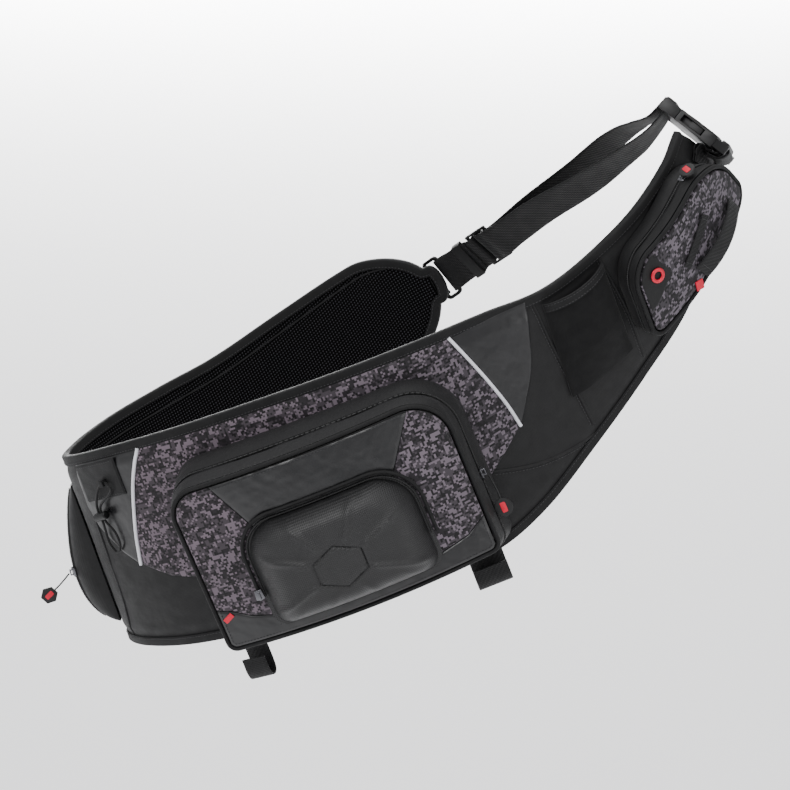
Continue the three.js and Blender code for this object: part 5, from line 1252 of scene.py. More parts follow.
        left, right = self.left + 5.3, self.left + self.width - 5.3
        strip_top = np.array([[left, -54], [134, -60], [148, -68], [171, -74], [250, -79], [331, -77],
                              [368, -71], [right, -60]], float)
        strip_low_x = np.linspace(left, right, 80)
        strip_low = np.stack([strip_low_x, self.inner_line(-1, strip_low_x, 5.2)], -1)
        slant_left = np.array([[190, 4], [186, 13], [159.5, 65]])
        slant_right = np.array([[319, 0], [322.5, 10], [358, 62.5]])
        patch = coons(np.array([[190, 4], [319, 0]]), high_line(159.5, 358), slant_left, slant_right, 90, 46)
        self.face_skin("face_coated_trapezoid", patch, COATED_CLOTH, "main_pocket_face", 1.0, 51)
        corner = high_line(left, 158.6)
        patch = coons(np.array([[left, -53.4], [134, -59.4], [148, -67.4], [171, -73.4], [200, -76]]),
                      corner, np.array([[left, -53.4], [left, corner[0, 1]]]),
                      np.array([[200, -76], [204, -40], [196, -8], [185, 12], [158.6, corner[-1, 1]]]),
                      56, 90)
        self.face_skin("face_camouflage_left", patch, CAMO_CLOTH, "face_camo_left", 1.2, 57)
        corner = high_line(358.9, right)
        patch = coons(np.array([[300, -77.4], [331, -76.4], [368, -70.4], [right, -59.4]]), corner,
                      np.array([[300, -77.4], [306, -40], [312, -10], [323.5, 10], [358.9, corner[0, 1]]]),
                      np.array([[right, -59.4], [right, corner[-1, 1]]]), 60, 90)
        self.face_skin("face_camouflage_right", patch, CAMO_CLOTH, "face_camo_right", 1.2, 61)
        patch = coons(strip_low, strip_top - [0, 0.6], np.array([[left, strip_low[0, 1]], [left, -54.6]]),
                      np.array([[right, strip_low[-1, 1]], [right, -60.6]]), 120, 26)
        self.face_skin("face_coated_strip", patch, COATED_CLOTH, "face_lower_strip", 0.8, 67)
        ring = rounded(*self.face_box(), self.piping - 0.2, 12, 24)
        path = np.stack([ring[:, 0], self.face_depth(ring[:, 0]) + self.piping, ring[:, 1]], -1)
        path = resample(path, 420, closed=True)
        dress(sweep("main_face_piping", path, circle(self.piping, 14), np.array([0.0, 1.0, 0.0]), True),
              TAPE_CLOTH, "main_pocket_piping")
        inside = rounded(*self.face_box(), 7.6, 12, 24)
        line = np.stack([inside[:, 0], self.face_depth(inside[:, 0]) - 1.55, inside[:, 1]], -1)
        line = resample(line, 500, closed=True)
        dress(stitches("main_face_seam", line, np.array([0.0, -1.0, 0.0])), THREAD)

    def shell(self) -> None:
        """The moulded pocket: a smooth dome whose height is a flat-topped bell of the distance to its rim.

        The rim's outline is scaled towards its middle. Grooves follow a hexagon and six rays from it.
        """
        x0, z0, w, h = self.mould
        outline = rounded(x0, z0, w, h, self.mould_corners, 0.0, 14, 30)
        outline = np.concatenate([outline, outline[:1]])
        centre = np.array([x0 + w * 0.5, z0 + h * 0.46])
        share = np.concatenate([np.linspace(1.0, 0.955, 5), np.linspace(0.955, 0.80, 30)[1:],
                                np.linspace(0.80, 0.0, 56)[1:]])
        flat = centre + (outline - centre)[None] * share[:, None, None]
        u, v = flat[..., 0] - centre[0] + 3, flat[..., 1] - centre[1] + 4
        rise = 1.0 - np.clip((share - 0.58) / 0.375, 0, 1) ** 2.6
        rise = np.where(share > 0.955, 0.0, np.maximum(rise, 0.0)) ** 0.8
        crown = 0.90 + 0.10 * np.cos(np.clip(share, 0, 1) * np.pi / 2)
        height = (self.mould_depth - self.mould_wall) * rise * crown
        relief = self.emboss(u, v, share[:, None])
        front_y = self.face_depth(flat[..., 0]) - 0.4 - self.mould_wall - height[:, None] - relief
        back_y = self.face_depth(flat[..., 0]) - 0.4 - height[:, None] * 0.985 - np.minimum(relief, 0.0)
        front = np.stack([flat[..., 0], front_y, flat[..., 1]], -1)
        inner = centre + (flat - centre) * (1.0 - 0.028 * (rise[:, None, None] > 0.05))
        back = np.stack([inner[..., 0], back_y, inner[..., 1]], -1)
        uv = np.stack([flat[..., 0], flat[..., 1]], -1)
        self.cap(front, back, uv)
        turn = np.linspace(0, TAU, 7)[:-1] + TAU / 12
        hexagon = np.stack([20.5 * np.cos(turn), 15.5 * np.sin(turn)], -1)
        self.badge(hexagon, centre)

    def emboss(self, u: Array, v: Array, share: Array) -> Array:
        """Raised facets: the ground steps up beyond six rays and drops in a groove round the hexagon."""
        angle = np.arctan2(v * 1.25, u)
        radius = np.hypot(u, v * 1.25)
        total = np.zeros(u.shape)
        for ray, high in ((28, 3.0), (66, 2.2), (118, 2.2), (152, 3.0), (205, 2.6), (246, 2.0), (297, 2.0),
                          (335, 2.6)):
            away = np.angle(np.exp(1j * (angle - np.radians(ray)))) * radius
            total += high * np.exp(-(away / 3.6) ** 2) * ramp(radius, 27, 36) * ramp(share, 0.93, 0.80)
        six = np.max(np.stack([np.abs(u) / 25.0, np.abs(u / 25.0 * 0.5 + v / 19.0 * 0.87),
                               np.abs(u / 25.0 * 0.5 - v / 19.0 * 0.87)]), axis=0)
        return total - 1.7 * np.exp(-((six - 0.95) / 0.045) ** 2) + 0.5 * ramp(six, 0.98, 0.9)

    def cap(self, front: Array, back: Array, uv: Array) -> None:
        """Closes the dome: its rows run from rim to pole, so only the rim needs a wall."""
        rows, columns = front.shape[:2]
        count = rows * columns
        column = np.arange(columns - 1)
        rim = np.stack([column, column + 1, column + 1 + count, column + count], -1)[:, ::-1]
        faces = np.concatenate([quads(rows, columns), quads(rows, columns, count)[:, ::-1], rim])
        points = np.concatenate([front.reshape(-1, 3), back.reshape(-1, 3)])
        piece = make("moulded_pocket_shell", points, faces, np.concatenate([uv.reshape(-1, 2)] * 2), 60.0)
        dress(piece, SHELL_CLOTH, "moulded_pocket")

    def badge(self, hexagon: Array, centre: Array) -> None:
        """A bare hexagonal field on the dome, a low plate with round edges."""
        rings = np.array([[1.0, -0.5], [1.0, 0.2], [0.985, 0.55], [0.95, 0.75], [0.9, 0.8], [0.5, 0.8],
                          [0.0, 0.8]])
        loop = np.concatenate([hexagon, hexagon[:1]])
        even = np.linspace(0, 6, 61)
        loop = np.stack([np.interp(even, np.arange(7), loop[:, i]) for i in (0, 1)], -1)
        flat = centre + np.array([-3, -4]) + loop[None] * rings[:, None, :1]
        base = self.face_depth(np.array(centre[0])) - 0.4 - self.mould_depth
        depth = base + 0.35 - np.broadcast_to(rings[:, None, 1], flat.shape[:2])
        front = np.stack([flat[..., 0], depth, flat[..., 1]], -1)
        back = front[:1] + (front - front[:1]) * [1, 0, 1]
        points = np.concatenate([front.reshape(-1, 3), back.reshape(-1, 3)])
        rows, columns = front.shape[:2]
        faces = np.concatenate([quads(rows, columns), quads(rows, columns, rows * columns)[:, ::-1]])
        uv = np.concatenate([flat.reshape(-1, 2)] * 2)
        dress(make("moulded_badge", points, faces, uv, 50.0), SHELL_CLOTH, "moulded_boss")

    def mould_line(self, inset: float, lift: float, count: int) -> Array:
        """The upper part of the moulded pocket's outline, a lift in front of the face.

        The part below is left out. Its gap is the longest step of the outline, where the line starts.
        """
        x0, z0, w, h = self.mould
        ring = rounded(x0, z0, w, h, self.mould_corners, inset, 12, 30)
        top = ring[ring[:, 1] > z0 + h * 0.3]
        start = int(np.argmax(np.linalg.norm(np.roll(top, -1, axis=0) - top, axis=1))) + 1
        line = np.roll(top, -start, axis=0)
        return resample(np.stack([line[:, 0], self.face_depth(line[:, 0]) - lift, line[:, 1]], -1), count)

    def mould_zip(self) -> None:
        """The zip band over the moulded pocket: a tape that stands on the face, and its teeth."""
        towards = np.array([0.0, -1.0, 0.0])
        path = self.mould_line(-3.4, 4.1, 240)
        dress(sweep("moulded_pocket_piping", path, circle(1.9, 12), towards), TAPE_CLOTH,
              "moulded_pocket_zip")
        path = self.mould_line(1.2, 4.0, 700)
        dress(zip_teeth("moulded_pocket_teeth", path, 0.9, towards, 0.35), BLACK_RUBBER)

    def build(self) -> None:
        """Makes the whole pocket."""
        self.strip("main_side_wall", 0.0, self.zip_from - self.seam, self.fabric, INK_CLOTH,
                   "main_pocket_gusset", 1.6, 71)
        self.strip("main_zip_tape", self.zip_from, self.zip_to, self.fabric / 2, ZIP_CLOTH,
                   "main_pocket_zip_tape", 0.2, 73)
        self.strip("main_front_wall", self.zip_to + self.seam, 1.0, self.fabric, INK_CLOTH,
                   "main_pocket_front_strip", 0.9, 79)
        middle = self.wall_point(np.array([(self.zip_from + self.zip_to) / 2]), -0.1)[:-1, 0]
        teeth = zip_teeth("main_zip_teeth", resample(middle, 1100, closed=True), 1.15,
                          np.array([0.0, -1.0, 0.1]), 0.38, True)
        dress(teeth, BLACK_RUBBER)
        self.face()
        self.shell()
        self.mould_zip()


@dataclass
class ShoulderPocket:
    """The pocket near the shoulder: side walls with a zip, a printed face, patch, eyelet and webbing."""

    left: float = 638.0
    length: float = 150.0
    low: float = -31.0
    height: float = 84.0
    depth: float = 36.0
    corners: tuple = (16.0, 14.0, 52.0, 28.0)
    fabric: float = 2.0
    piping: float = 2.2
    root: float = 4.9
    rim: float = 5.0
    eyelet_reach: float = 663.0
    eyelet_across: float = 27.0

    def top(self) -> float:
        """How far the face stands out of the band's middle."""
        return self.root + self.depth

    def ring(self, inset: float) -> Array:
        """The pocket's outline as lengths along and across the band."""
        line = rounded(self.left, self.low, self.length, self.height, self.corners, inset, 12, 20)
        return np.concatenate([line, line[:1]])

    def strip(self, name: str, start: float, end: float, gauge: float, finish: Finish, node_name: str,
              sag: float, seed: int) -> None:
        """A closed strip of the side wall."""
        share = np.linspace(start, end, 18)
        faces = []
        for inset in ((self.fabric - gauge) / 2, (self.fabric + gauge) / 2):
            ring = self.ring(inset)
            near = BAND.place(ring[:, 0], ring[:, 1], np.full(len(ring), self.root))
            far = BAND.place(ring[:, 0], ring[:, 1], np.full(len(ring), self.top() - 2 * self.piping - 0.5))
            faces.append(near[:, None] + (far - near)[:, None] * share[None, :, None])
        outer, inner = faces
        out = unit(outer - inner)
        length = lengths(outer[:, 0])
        u = np.broadcast_to(length[:, None], outer.shape[:2])
        v = np.broadcast_to((share * self.depth)[None], outer.shape[:2])
        fade = np.minimum(1.0, np.minimum(u, length[-1] - u) / 20.0)
        free = np.sin(np.pi * (share - start) / (end - start))[None]
        lift = free * (sag + fade * ripple(u, v, 44.0, 0.5, seed))
        shifted = [face + out * lift[..., None] for face in (outer, inner)]
        dress(wall(name, shifted[0], shifted[1], np.stack([u, v], -1), ring=True), finish, node_name)

    def face_patch(self, inset: float) -> Array:
        """Grid of the face: columns along the band from its low to its high line."""
        share = (1 - np.cos(np.linspace(0, np.pi, 90))) / 2
        x = self.left + inset + 0.6 + (self.length - 2 * inset - 1.2) * share
        box = (self.left, self.low, self.length, self.height, self.corners)
        low = outline_line(*box, inset, -1, x)[:, None]
        high = outline_line(*box, inset, 1, x)[:, None]
        z = low + (high - low) * np.linspace(0, 1, 50)[None]
        return np.stack([np.broadcast_to(x[:, None], z.shape), z], -1)

    def plate(self, name: str, patch: Array, low: float, high: float, finish: Finish, node_name: str,
              seed: int, puff: float = 0.0) -> None:
        """A cloth on the face between two heights above it, with a sunk rim."""
        steps = mean_steps(patch)
        rise = tuck(patch.shape[:2], steps, 2.6)
        crown = puff * dome(patch.shape[:2], 0.6)
        fold = ripple(patch[..., 0], patch[..., 1], 42.0, 0.3, seed) * ramp(rise, 0.3, 1.0)
        height = self.top() + low + 0.25 + (high - low - 0.25) * rise + crown + fold
        front = BAND.place(patch[..., 0], patch[..., 1], height)
        back = BAND.place(patch[..., 0], patch[..., 1], np.full(height.shape, self.top() + low) + crown)
        dress(wall(name, front, back, patch), finish, node_name)

    def band(self, name: str, start: tuple, end: tuple, width: float, arch: float, node_name: str) -> None:
        """Webbing from one place of the face to another, which stands off it in a sine arch."""
        t = np.linspace(0, 1, 24)
        reach, across = start[0] + (end[0] - start[0]) * t, start[1] + (end[1] - start[1]) * t
        lift = self.top() + 2.3 + arch * np.sin(np.pi * t) ** 0.8
        points = BAND.place(reach, across, lift)
        way = np.cross(points[-1] - points[0], BAND.station(BAND.at(reach))[2])
        dress(ribbon(name, points, way, width, WEBBING_GAUGE, 60), WEBBING_CLOTH, node_name)
        for word, k in (("start", 2), ("end", -3)):
            middle, side = points[k], unit(way[k])
            line = middle + side * np.linspace(-0.42, 0.42, 12)[:, None] * width \
                + BAND.station(BAND.at(reach))[2][k] * 0.95
            dress(stitches(f"{name}_bar_{word}", line, BAND.station(BAND.at(reach))[2][k], 1.7, 1.4), THREAD)

    def eyelet(self) -> None:
        """The eyelet's ring: a half round turned about its axis."""
        turn, around = np.linspace(0, TAU, 25), np.linspace(0, TAU, 49)
        radius = 5.8 + 1.8 * np.cos(turn)
        high = 1.0 + 1.25 * np.sin(turn)
        reach = np.array([self.eyelet_reach])
        _, way, outward = (a[0] for a in BAND.station(BAND.at(reach)))
        along = np.cross(way, outward)
        spot = BAND.place(reach, np.array([self.eyelet_across]), np.array([self.top() + 2.2]))[0]
        grid = spot + (along * np.cos(around)[:, None, None] + way * np.sin(around)[:, None, None]) \
            * radius[None, :, None] + outward * high[None, :, None]
        piece = make("eyelet_ring", grid.reshape(-1, 3), quads(49, 25), np.zeros((49 * 25, 2)), 60.0)
        dress(piece, ANODISED, "eyelet")

    def build(self) -> None:
        """Makes the whole pocket."""
        self.strip("shoulder_side_wall", 0.0, 0.5, self.fabric, INK_CLOTH, "shoulder_pocket_gusset", 0.8, 83)
        self.strip("shoulder_zip_tape", 0.515, 0.68, self.fabric / 2, ZIP_CLOTH, "shoulder_pocket_zip_tape",
                   0.1, 87)
        self.strip("shoulder_front_wall", 0.695, 1.0, self.fabric, INK_CLOTH, "shoulder_pocket_front_strip",
                   0.5, 89)
        ring = self.ring(-0.1)[:-1]
        coil = BAND.place(ring[:, 0], ring[:, 1],
                          np.full(len(ring), self.root + (self.depth - 2 * self.piping - 0.5) * 0.598))
        up = BAND.station(np.array([0.85]))[2][0]
        path = resample(coil, 700, closed=True)
        dress(zip_teeth("shoulder_zip_teeth", path, 1.05, up, 0.38, True), BLACK_RUBBER)
        self.plate("shoulder_face_print", self.face_patch(self.rim), -2.5, 0.0, CAMO_CLOTH,
                   "shoulder_pocket_face", 91, 0.5)
        ring = self.ring(self.piping - 0.2)[:-1]
        path = BAND.place(ring[:, 0], ring[:, 1], np.full(len(ring), self.top() - self.piping))
        path = resample(path, 300, closed=True)
        dress(sweep("shoulder_face_piping", path, circle(self.piping, 14), up, True), TAPE_CLOTH,
              "shoulder_pocket_piping")
        end = self.eyelet_reach + 16
        x = np.linspace(self.left + self.rim + 1.8, end, 30)
        box = (self.left, self.low, self.length, self.height, self.corners)
        high = np.minimum(outline_line(*box, self.rim, 1, x) - 1, 51 - 30 * ramp(x, self.eyelet_reach, end))
        low = 1 + 12 * ramp(x, self.eyelet_reach - 14, end)
        z = low[:, None] + (high - low)[:, None] * np.linspace(0, 1, 30)[None]
        patch = np.stack([np.broadcast_to(x[:, None], z.shape), z], -1)
        self.plate("eyelet_cloth_patch", patch, 0.6, 1.8, INK_CLOTH, "eyelet_patch", 93)
        self.eyelet()
        self.band("tool_strap_narrow", (738, 20), (694, 4), 9.0, 0.0, "tool_webbing_narrow")
        self.band("tool_strap_loop", (768, -12), (706, -16), 20.0, 7.0, "tool_webbing_loop")


@dataclass
class StretchPouch:
    """The open pouch on the chest: one stretchy cloth that stands off the band, with a bound mouth."""

    left: float = 549.0
    length: float = 78.0
    height: float = 100.0
    depth: float = 14.0
    fabric: float = 2.0
    foot: float = 4.8
    below_rim: float = 11.0

    def sheet(self, start: float, end: float, extra: float, gauge: float,
              rows: int) -> tuple[Array, Array, Array]:
        """Outer grid, inner grid and pattern map between two shares of the pouch's height.

        It stands out by a sine over its length times a root of the height above its sewn foot.
        """
        reach = np.linspace(self.left, self.left + self.length, 60)
        share = np.linspace(start, end, rows)
        top = BAND.half(BAND.at(reach)) - self.below_rim
        across = top[:, None] - self.height * (1.0 - share[None])
        side = np.sin(np.pi * np.linspace(0.0, 1, 60)) ** 0.6
        up = np.minimum(1.0, share * 2.4) ** 0.7
        u = np.broadcast_to(reach[:, None], across.shape)
        fold = ripple(u, across, 55.0, 0.6, 97) * side[:, None] * up[None]
        out = self.foot + self.depth * side[:, None] * up[None] + extra * side[:, None] + fold
        return (BAND.place(u, across, out + gauge), BAND.place(u, across, out), np.stack([u, across], -1))

    def build(self) -> None:
        """Makes the pouch, its hem and their stitches."""
        front, back, uv = self.sheet(0.01, 0.93, 0.0, self.fabric, 60)
        dress(wall("pouch_stretch_front", front, back, uv), STRETCH_CLOTH, "stretch_pouch")
        front, back, uv = self.sheet(0.915, 1.0, 0.5, self.fabric + 1.0, 14)
        dress(wall("pouch_bound_mouth", front, back, uv), TAPE_CLOTH, "pouch_hem")
        for k, share in enumerate((0.93, 0.985)):
            front, back, _ = self.sheet(share, share + 0.001, 0.5, self.fabric + 1.15, 2)
            dress(stitches(f"pouch_mouth_seam_{k + 1}", front[:, 0], unit(front[:, 0] - back[:, 0])), THREAD)


@dataclass
class HipPocket:
    """The drop-shaped pocket on the wing: four cloths of one swollen surface, with a zip down its front."""

    start: float = 6.0
    length: float = 118.0
    low: float = -82.0
    height: float = 152.0
    depth: float = 58.0
    lift: float = 6.2
    fabric: float = 2.0
    zip_side: float = 0.09
    zip_half: float = 0.012
    seam: float = 0.004
    side_end: float = 0.3

    def point(self, side: Array, up: Array) -> Array:
        """A point of the surface: the band's own surface plus a product of two rounded sines."""
        a, b = np.clip(side, 0, 1), np.clip(up, 0, 1)
        along = np.maximum(np.sin(np.pi * a ** 0.8), 0) ** 0.7
        over = np.maximum(np.sin(np.pi * b ** 0.62), 0) ** 0.75
        out = self.lift + self.depth * along * over
        return BAND.place(-self.start - self.length * side, self.low + self.height * up, out)

    def surface(self, side: Array, up: Array) -> tuple[Array, Array]:
        """Points and outward normals, from differences along both parameters."""
        step = 0.004
        a, b = np.clip(side, 2 * step, 1 - 2 * step), np.clip(up, 2 * step, 1 - 2 * step)
        along_side = self.point(a + step, b) - self.point(a - step, b)
        along_up = self.point(a, b + step) - self.point(a, b - step)
        return self.point(side, up), unit(np.cross(along_up, along_side))

    def cloth(self, name: str, start: float, end: float, rows: int, gauge: float, finish: Finish,
              node_name: str, seed: int, fold: float) -> None:
        """One cloth between two shares of the pocket's side."""
        side, up = np.meshgrid(np.linspace(start, end, rows), np.linspace(0, 1, 90), indexing="ij")
        points, normal = self.surface(side, up)
        u, v = side * self.length * 1.6, up * self.height * 1.2
        i = np.linspace(0, 1, rows)[:, None]
        free = (np.sin(np.pi * i) * np.sin(np.pi * up)) ** 0.5
        wave = free * (ripple(u, v, 58.0, fold, seed) + ripple(u, v * 0.5, 30.0, fold * 0.5, seed + 1, True))
        front = points + normal * wave[..., None]
        back = points + normal * (wave - gauge)[..., None]
        dress(wall(name, front, back, np.stack([u, v], -1)), finish, node_name)

    def build(self) -> None:
        """Makes the cloths, the teeth and the seam's fold."""
        start, end = self.zip_side - self.zip_half, self.zip_side + self.zip_half
        self.cloth("hip_pocket_front_cloth", 0.0, start - self.seam, 14, self.fabric, INK_CLOTH,
                   "hip_pocket_front", 101, 0.3)
        self.cloth("hip_pocket_zip_cloth", start, end, 8, self.fabric / 2, ZIP_CLOTH, "hip_pocket_zip_tape",
                   103, 0.0)
        self.cloth("hip_pocket_side_cloth", end + self.seam, self.side_end, 34, self.fabric, INK_CLOTH,
                   "hip_pocket_side", 107, 0.8)
        self.cloth("hip_pocket_back_cloth", self.side_end + 2 * self.seam, 1.0, 70, self.fabric, CAMO_CLOTH,
                   "hip_pocket_back", 109, 0.8)
        up = np.linspace(0.04, 0.96, 80)
        points, normal = self.surface(np.full(80, self.zip_side), up)
        both = resample(np.concatenate([points + normal * 0.3, normal * 30.0], 1), 420)
        dress(zip_teeth("hip_zip_teeth", both[:, :3], 1.1, unit(both[:, 3:]), 0.36), BLACK_RUBBER)
        points, normal = self.surface(np.full(80, self.side_end + self.seam), np.linspace(0.03, 0.97, 80))
        dress(sweep("hip_pocket_piping", points + normal * 0.2, circle(1.5, 10), normal), TAPE_CLOTH)
        side = np.linspace(end + 0.01, self.side_end - 0.005, 30)
        points, normal = self.surface(side, np.full(30, 0.36))
        dress(stitches("hip_pocket_cross_seam", points + normal * 0.5, normal), THREAD)


@dataclass
class CordLock:
    """The sewn patch at the hip, the elastic cord that hangs from it, and the barrel that grips it."""

    radius: float = 1.3
    out: float = 9.2
    loop: tuple = (
        (74, 76, 2), (69, 72, 2), (55, 48, 2.8), (56.1, 36.7, 2.8), (51, 25, 0), (50.5, 10, 0), (57, 1, 0),
        (64.5, 7, 0), (65, 22, 0), (60.7, 36.5, 2.8), (59.2, 48, 2.8), (84, 71, 2), (80, 76, 2),
    )

    def patch(self) -> None:
        """The cloth patch, sewn down all round."""
        reach = np.linspace(37, 98, 40)
        top = BAND.half(BAND.at(reach)) - 9.5
        across = top[:, None] - 39.0 * (1 - np.linspace(0, 1, 26))[None]
        u = np.broadcast_to(reach[:, None], across.shape)
        rise = tuck(across.shape, np.array([1.5, 1.5]), 2.0)
        front = BAND.place(u, across, 6.9 + 1.5 * rise)
        back = BAND.place(u, across, np.full(across.shape, 5.9))
        dress(wall("hip_cloth_patch", front, back, np.stack([u, across], -1)), INK_CLOTH, "hip_webbing_patch")
        line = np.array([[40, 0], [95, 0]])
        for k, level in enumerate((2.5, 36.5)):
            r = np.linspace(line[0, 0], line[1, 0], 30)
            a = BAND.half(BAND.at(r)) - 9.5 - level
            normal = BAND.station(BAND.at(r))[2]
            dress(stitches(f"hip_patch_seam_{k + 1}", BAND.place(r, a, np.full(30, 8.5)), normal), THREAD)

    def build(self) -> None:
        """Makes the patch, the cord and the barrel."""
        self.patch()
        table = np.array(self.loop, float)
        points = BAND.place(table[:, 0], table[:, 1], self.out + table[:, 2])
        path = resample(points, 150)
        up = BAND.station(np.array([0.1]))[2][0]
        cord = dress(sweep("hip_elastic_cord", path, circle(self.radius, 12), up), BRAID, "elastic_cord")
        eased_copy("cord_lock_barrel", "cord_toggle", 0.5, ACETAL)
        eased_copy("cord_anchor_loop", "cord_anchor", 0.3, WEBBING_CLOTH)


@dataclass
class ShoulderStrap:
    """The webbing strap in two layers, its slider, keeper and ring, and the buckle."""

    width: float = 38.0
    gauge: float = WEBBING_GAUGE
    slack: float = 22.0
    slider_at: float = 58.0
    slider_bar: float = 3.5
    slider_window: float = 8.0
    slider_thick: float = 3.0
    slider_out: float = 3.1
    ring_wire: float = 1.8
    ring_length: float = 20.0
    buckle_length: float = 81.0
    buckle_thick: float = 12.6
    bar: float = 2.2
    reaches: Array = field(init=False)

    def __post_init__(self) -> None:
        """Measures the strap's course."""
        line = BAND.point(STRAP_COURSE, np.linspace(0, 1, 201))
        self.reaches = lengths(line)

    def frame(self, reach: Array) -> tuple[Array, Array, Array, Array, Array]:
        """Middle, travel, way across, outward normal and arch at lengths from the ring."""
        reach = np.atleast_1d(np.asarray(reach, float))
        inside = np.clip(reach, 0, self.reaches[-1])
        at = np.interp(inside, self.reaches, np.linspace(0, 1, 201))
        travel = unit(BAND.point(STRAP_COURSE, at + 1e-3) - BAND.point(STRAP_COURSE, at - 1e-3))
        width = -leaning(STRAP_COURSE.ease("tilt", at), STRAP_COURSE.ease("lean", at))
        across = unit(width - travel * np.sum(width * travel, -1, keepdims=True))
        outward = np.cross(across, travel)
        outward = outward * np.where(outward[:, 2:] < 0, -1.0, 1.0)
        middle = BAND.point(STRAP_COURSE, at) + travel * (reach - inside)[:, None]
        return middle, travel, across, outward, STRAP_COURSE.ease("arch", at) * self.slack

    def on(self, reach: Array, out: Array) -> Array:
        """Points at lengths along the strap and out of it, each with its way across."""
        middle, _, across, outward, _ = self.frame(reach)
        out = np.broadcast_to(np.atleast_1d(np.asarray(out, float)), (len(middle),))
        return np.concatenate([middle + outward * out[:, None], across], 1)

    def on_slider(self, shift: Array, out: Array) -> Array:
        """Points in the slider's own frame, each with its way across."""
        middle, travel, across, outward, _ = (a[0] for a in self.frame(self.slider_at))
        shift, out = np.atleast_1d(shift).astype(float), np.atleast_1d(out).astype(float)
        points = middle + travel * shift[:, None] + outward * out[:, None]
        return np.concatenate([points, np.broadcast_to(across, points.shape)], 1)

    def buckle_frame(self) -> tuple[Array, Array, Array, Array]:
        """The buckle's back end, the way along it, across it and out of it."""
        back = np.array([BAND.loop_length * 0.979, BAND.loop_depth * 0.016, BAND.shoulder_rise * 1.296])
        y = unit(np.array([0.068, 0.898, -0.435]))
        rough = np.array([0.475, 0.0, -0.88])
        x = unit(rough - y * rough.dot(y))
        return back, x, y, np.cross(x, y)

    def in_buckle(self, x: Array, z: Array) -> Array:
        """Points on the buckle's middle plane, each with the way across."""
        back, ax, ay, az = self.buckle_frame()
        x, z = np.atleast_1d(x).astype(float), np.atleast_1d(z).astype(float)
        points = back + ax * x[:, None] + az * z[:, None]
        return np.concatenate([points, np.broadcast_to(ay, points.shape)], 1)

    def line(self) -> Array:
        """The webbing's line: tail, round the ring, outer layer, through the slider, round the plug's
        bar, and back as the inner layer to the slider's middle bar."""
        layer = self.gauge / 2 + 0.35
        wrap = self.ring_wire * np.sqrt(2) + 0.6 + self.gauge / 2
        turn = np.radians(np.linspace(-90, -270, 9))
        parts = [self.on([40, 28, 14, 6], [-layer, -layer, -layer, -wrap + 0.6]),
                 np.concatenate([self.on([wrap * np.cos(a)], [wrap * np.sin(a)]) for a in turn]),
                 self.on([6, 14, 28, self.slider_at - self.slider_bar - self.slider_window - 7],
                         [wrap - 0.6, layer, layer, layer - 0.3])]
        over = self.slider_thick / 2 + 0.5 + self.gauge / 2
        sewn = np.hypot(self.slider_bar, self.slider_thick) / 2 + 0.4 + self.gauge / 2
        under, above = self.slider_out - over, self.slider_out + sewn + self.gauge + 0.5
        parts.append(self.on_slider([-14, -9, -4.2, -1.5, 1.5, 4.2, 9, 14],
                                    [under, under, above - 0.6, above, above, above - 0.6, under, under]))
        reach = np.linspace(self.slider_at + 26, self.reaches[-1] - 2, 14)
        parts.append(self.on(reach, np.maximum(layer - 0.2, self.frame(reach)[4])))
        plug, hold = self.bar + 0.2, self.bar + 0.5 + self.gauge / 2
        turn = np.radians(np.linspace(190, 0, 9))
        parts.append(self.in_buckle(plug + hold * np.cos(turn), hold * np.sin(turn)))
        parts.append(self.in_buckle([plug + hold, plug + hold + 0.3], [-4.0, -8.5]))
        parts.append(self.on(reach[::-1], -layer))
        inner = under - self.gauge - 0.5
        parts.append(self.on_slider([14, 9.5], [inner, inner]))
        turn = np.radians(np.linspace(-60, -300, 10))
        parts.append(self.on_slider(sewn * np.cos(turn), self.slider_out + sewn * np.sin(turn)))
        return np.concatenate(parts)

    def ring_tab(self) -> Array:
        """The tab's line from the wing's outer side round the ring's bar and back."""
        middle, travel, across, outward, _ = (a[0] for a in self.frame(0))
        half = self.ring_length / 2 - self.ring_wire
        bar = middle - travel * 2 * half
        wrap = self.ring_wire * np.sqrt(2) + 0.6 + self.gauge / 2
        base = BAND.panel / 2 + 1.2 + self.gauge / 2
        tip_way = -BAND.station(np.array([BAND.tip]))[1]

        def back(reach: list[float], out: list[float]) -> Array:
            """Points of the tab that lie on the wing, short of its tip."""
            at = BAND.tip + np.array(reach) / BAND.wing_length
            points = BAND.on(at, np.zeros(len(reach)), np.array(out))
            return np.concatenate([points, np.broadcast_to(tip_way, points.shape)], 1)

        turn = np.radians(np.linspace(-120, 150, 10))[:, None]
        loop = bar + travel * wrap * np.cos(turn) + outward * wrap * np.sin(turn)
        loop = np.concatenate([loop, np.broadcast_to(across, loop.shape)], 1)
        return np.concatenate([back([34, 18, 7], [base] * 3), loop,
                               back([12, 20, 34], [base + 2.8, base + 2.2, base + 2.2])])

    def shoulder_tab(self) -> Array:
        """The tab's line from the band's end round the socket's bar and back."""
        back, ax, ay, az = self.buckle_frame()
        bar = self.buckle_length - self.bar - 0.2
        hold = self.bar + 0.5 + self.gauge / 2
        base = BAND.panel / 2 + 0.5 + self.gauge / 2 + 0.7
        end_way = BAND.station(np.array([1.0]))[1][0]

        def on_band(short: list[float], out: list[float]) -> Array:
            """Points of the tab that lie on the band, short of its end."""
            reach = BAND.front_length - np.array(short)
            points = BAND.place(reach, np.zeros(len(short)), np.array(out))
            return np.concatenate([points, BAND.station(BAND.at(reach))[1]], 1)

        def at(x: float, z: float, way: Array) -> Array:
            """One point of the tab in the buckle's own plane."""
            return np.concatenate([back + ax * x + az * z, way])[None]

